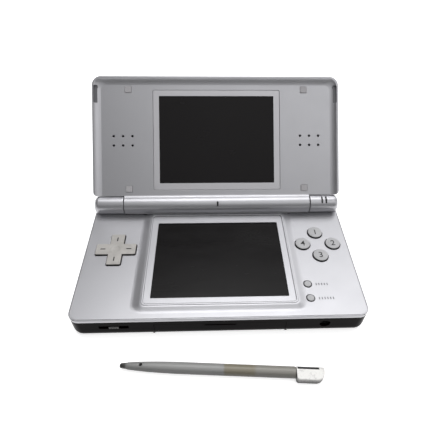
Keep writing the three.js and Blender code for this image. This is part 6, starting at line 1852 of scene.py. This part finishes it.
class CONSOLE_OT_direction_pad(bpy.types.Operator):
    """Build the direction pad"""

    bl_idname = "console.direction_pad"
    bl_label = "Direction Pad"

    def execute(self, context):
        make_direction_pad()
        return {"FINISHED"}


class CONSOLE_OT_keys(bpy.types.Operator):
    """Build the face buttons and the two small buttons"""

    bl_idname = "console.keys"
    bl_label = "Keys"

    def execute(self, context):
        make_keys(context.scene.console_sizes)
        return {"FINISHED"}


class CONSOLE_OT_marks(bpy.types.Operator):
    """Print the numerals on the face buttons and the ticks beside the small ones"""

    bl_idname = "console.marks"
    bl_label = "Marks"

    def execute(self, context):
        make_marks(context.scene.console_sizes)
        return {"FINISHED"}


class CONSOLE_OT_sliders(bpy.types.Operator):
    """Build the power slider and the volume slider"""

    bl_idname = "console.sliders"
    bl_label = "Sliders"

    def execute(self, context):
        make_sliders()
        return {"FINISHED"}


class CONSOLE_OT_shoulder_buttons(bpy.types.Operator):
    """Build the shoulder buttons and their springs"""

    bl_idname = "console.shoulder_buttons"
    bl_label = "Shoulder Buttons"

    def execute(self, context):
        make_shoulder_buttons()
        make_springs()
        return {"FINISHED"}


class CONSOLE_OT_slot_cover(bpy.types.Operator):
    """Build the blank in the front slot"""

    bl_idname = "console.slot_cover"
    bl_label = "Slot Cover"

    def execute(self, context):
        make_slot_cover()
        return {"FINISHED"}


class CONSOLE_OT_screws(bpy.types.Operator):
    """Build the case screws in the underside"""

    bl_idname = "console.screws"
    bl_label = "Screws"

    def execute(self, context):
        make_screws()
        return {"FINISHED"}


class CONSOLE_OT_lid_shell(bpy.types.Operator):
    """Build the lid's outer shell"""

    bl_idname = "console.lid_shell"
    bl_label = "Lid Shell"

    def execute(self, context):
        make_lid_shell()
        return {"FINISHED"}


class CONSOLE_OT_lid_frame(bpy.types.Operator):
    """Build the lid's inner frame, with its hinge barrel and speaker holes"""

    bl_idname = "console.lid_frame"
    bl_label = "Lid Frame"

    def execute(self, context):
        make_lid_frame(context.scene.console_sizes)
        return {"FINISHED"}


class CONSOLE_OT_upper_lens(bpy.types.Operator):
    """Build the lens plate over the upper screen"""

    bl_idname = "console.upper_lens"
    bl_label = "Upper Lens"

    def execute(self, context):
        make_upper_lens()
        return {"FINISHED"}


class CONSOLE_OT_bumpers(bpy.types.Operator):
    """Build the rubber bumpers on the lid's face"""

    bl_idname = "console.bumpers"
    bl_label = "Bumpers"

    def execute(self, context):
        make_bumpers(context.scene.console_sizes)
        return {"FINISHED"}


class CONSOLE_OT_stylus(bpy.types.Operator):
    """Build the stylus that lies in front"""

    bl_idname = "console.stylus"
    bl_label = "Stylus"

    def execute(self, context):
        make_stylus()
        return {"FINISHED"}


class CONSOLE_OT_stage(bpy.types.Operator):
    """Build the floor, the sky, the lamp and the camera"""

    bl_idname = "console.stage"
    bl_label = "Stage"

    def execute(self, context):
        make_stage(context.scene.console_colours, context.scene.console_stage)
        return {"FINISHED"}


OPERATORS = [
    CONSOLE_OT_solids, CONSOLE_OT_lower_case, CONSOLE_OT_control_panel, CONSOLE_OT_indicator_lenses,
    CONSOLE_OT_touch_panel, CONSOLE_OT_direction_pad, CONSOLE_OT_keys, CONSOLE_OT_marks, CONSOLE_OT_sliders,
    CONSOLE_OT_shoulder_buttons, CONSOLE_OT_slot_cover, CONSOLE_OT_screws, CONSOLE_OT_lid_shell,
    CONSOLE_OT_lid_frame, CONSOLE_OT_upper_lens, CONSOLE_OT_bumpers, CONSOLE_OT_stylus, CONSOLE_OT_stage]
GROUPS = {
    "console_sizes": CONSOLE_PG_sizes,
    "console_colours": CONSOLE_PG_colours,
    "console_stage": CONSOLE_PG_stage,
}


class CONSOLE_PT_pieces(bpy.types.Panel):
    """The console's pieces, with their sizes and colours"""

    bl_idname = "CONSOLE_PT_pieces"
    bl_label = "Clamshell Console"
    bl_space_type = "VIEW_3D"
    bl_region_type = "UI"
    bl_category = "Console"

    def draw(self, context):
        for operator in OPERATORS:
            self.layout.operator(operator.bl_idname)
        for name, group in GROUPS.items():
            for setting in group.__annotations__:
                self.layout.prop(getattr(context.scene, name), setting)


CLASSES = [*GROUPS.values(), *OPERATORS, CONSOLE_PT_pieces]


def register():
    """Registers the classes, and hangs the settings on the scene."""
    for each in CLASSES:
        bpy.utils.register_class(each)
    for name, group in GROUPS.items():
        setattr(bpy.types.Scene, name, PointerProperty(type=group))


def unregister():
    """Takes the settings off the scene, and the classes out."""
    for name in GROUPS:
        delattr(bpy.types.Scene, name)
    for each in reversed(CLASSES):
        bpy.utils.unregister_class(each)


def main():
    """Builds every piece and the stage."""
    register()
    for operator in OPERATORS:
        getattr(bpy.ops.console, operator.bl_idname.split(".")[1])()


if __name__ == "__main__":
    main()
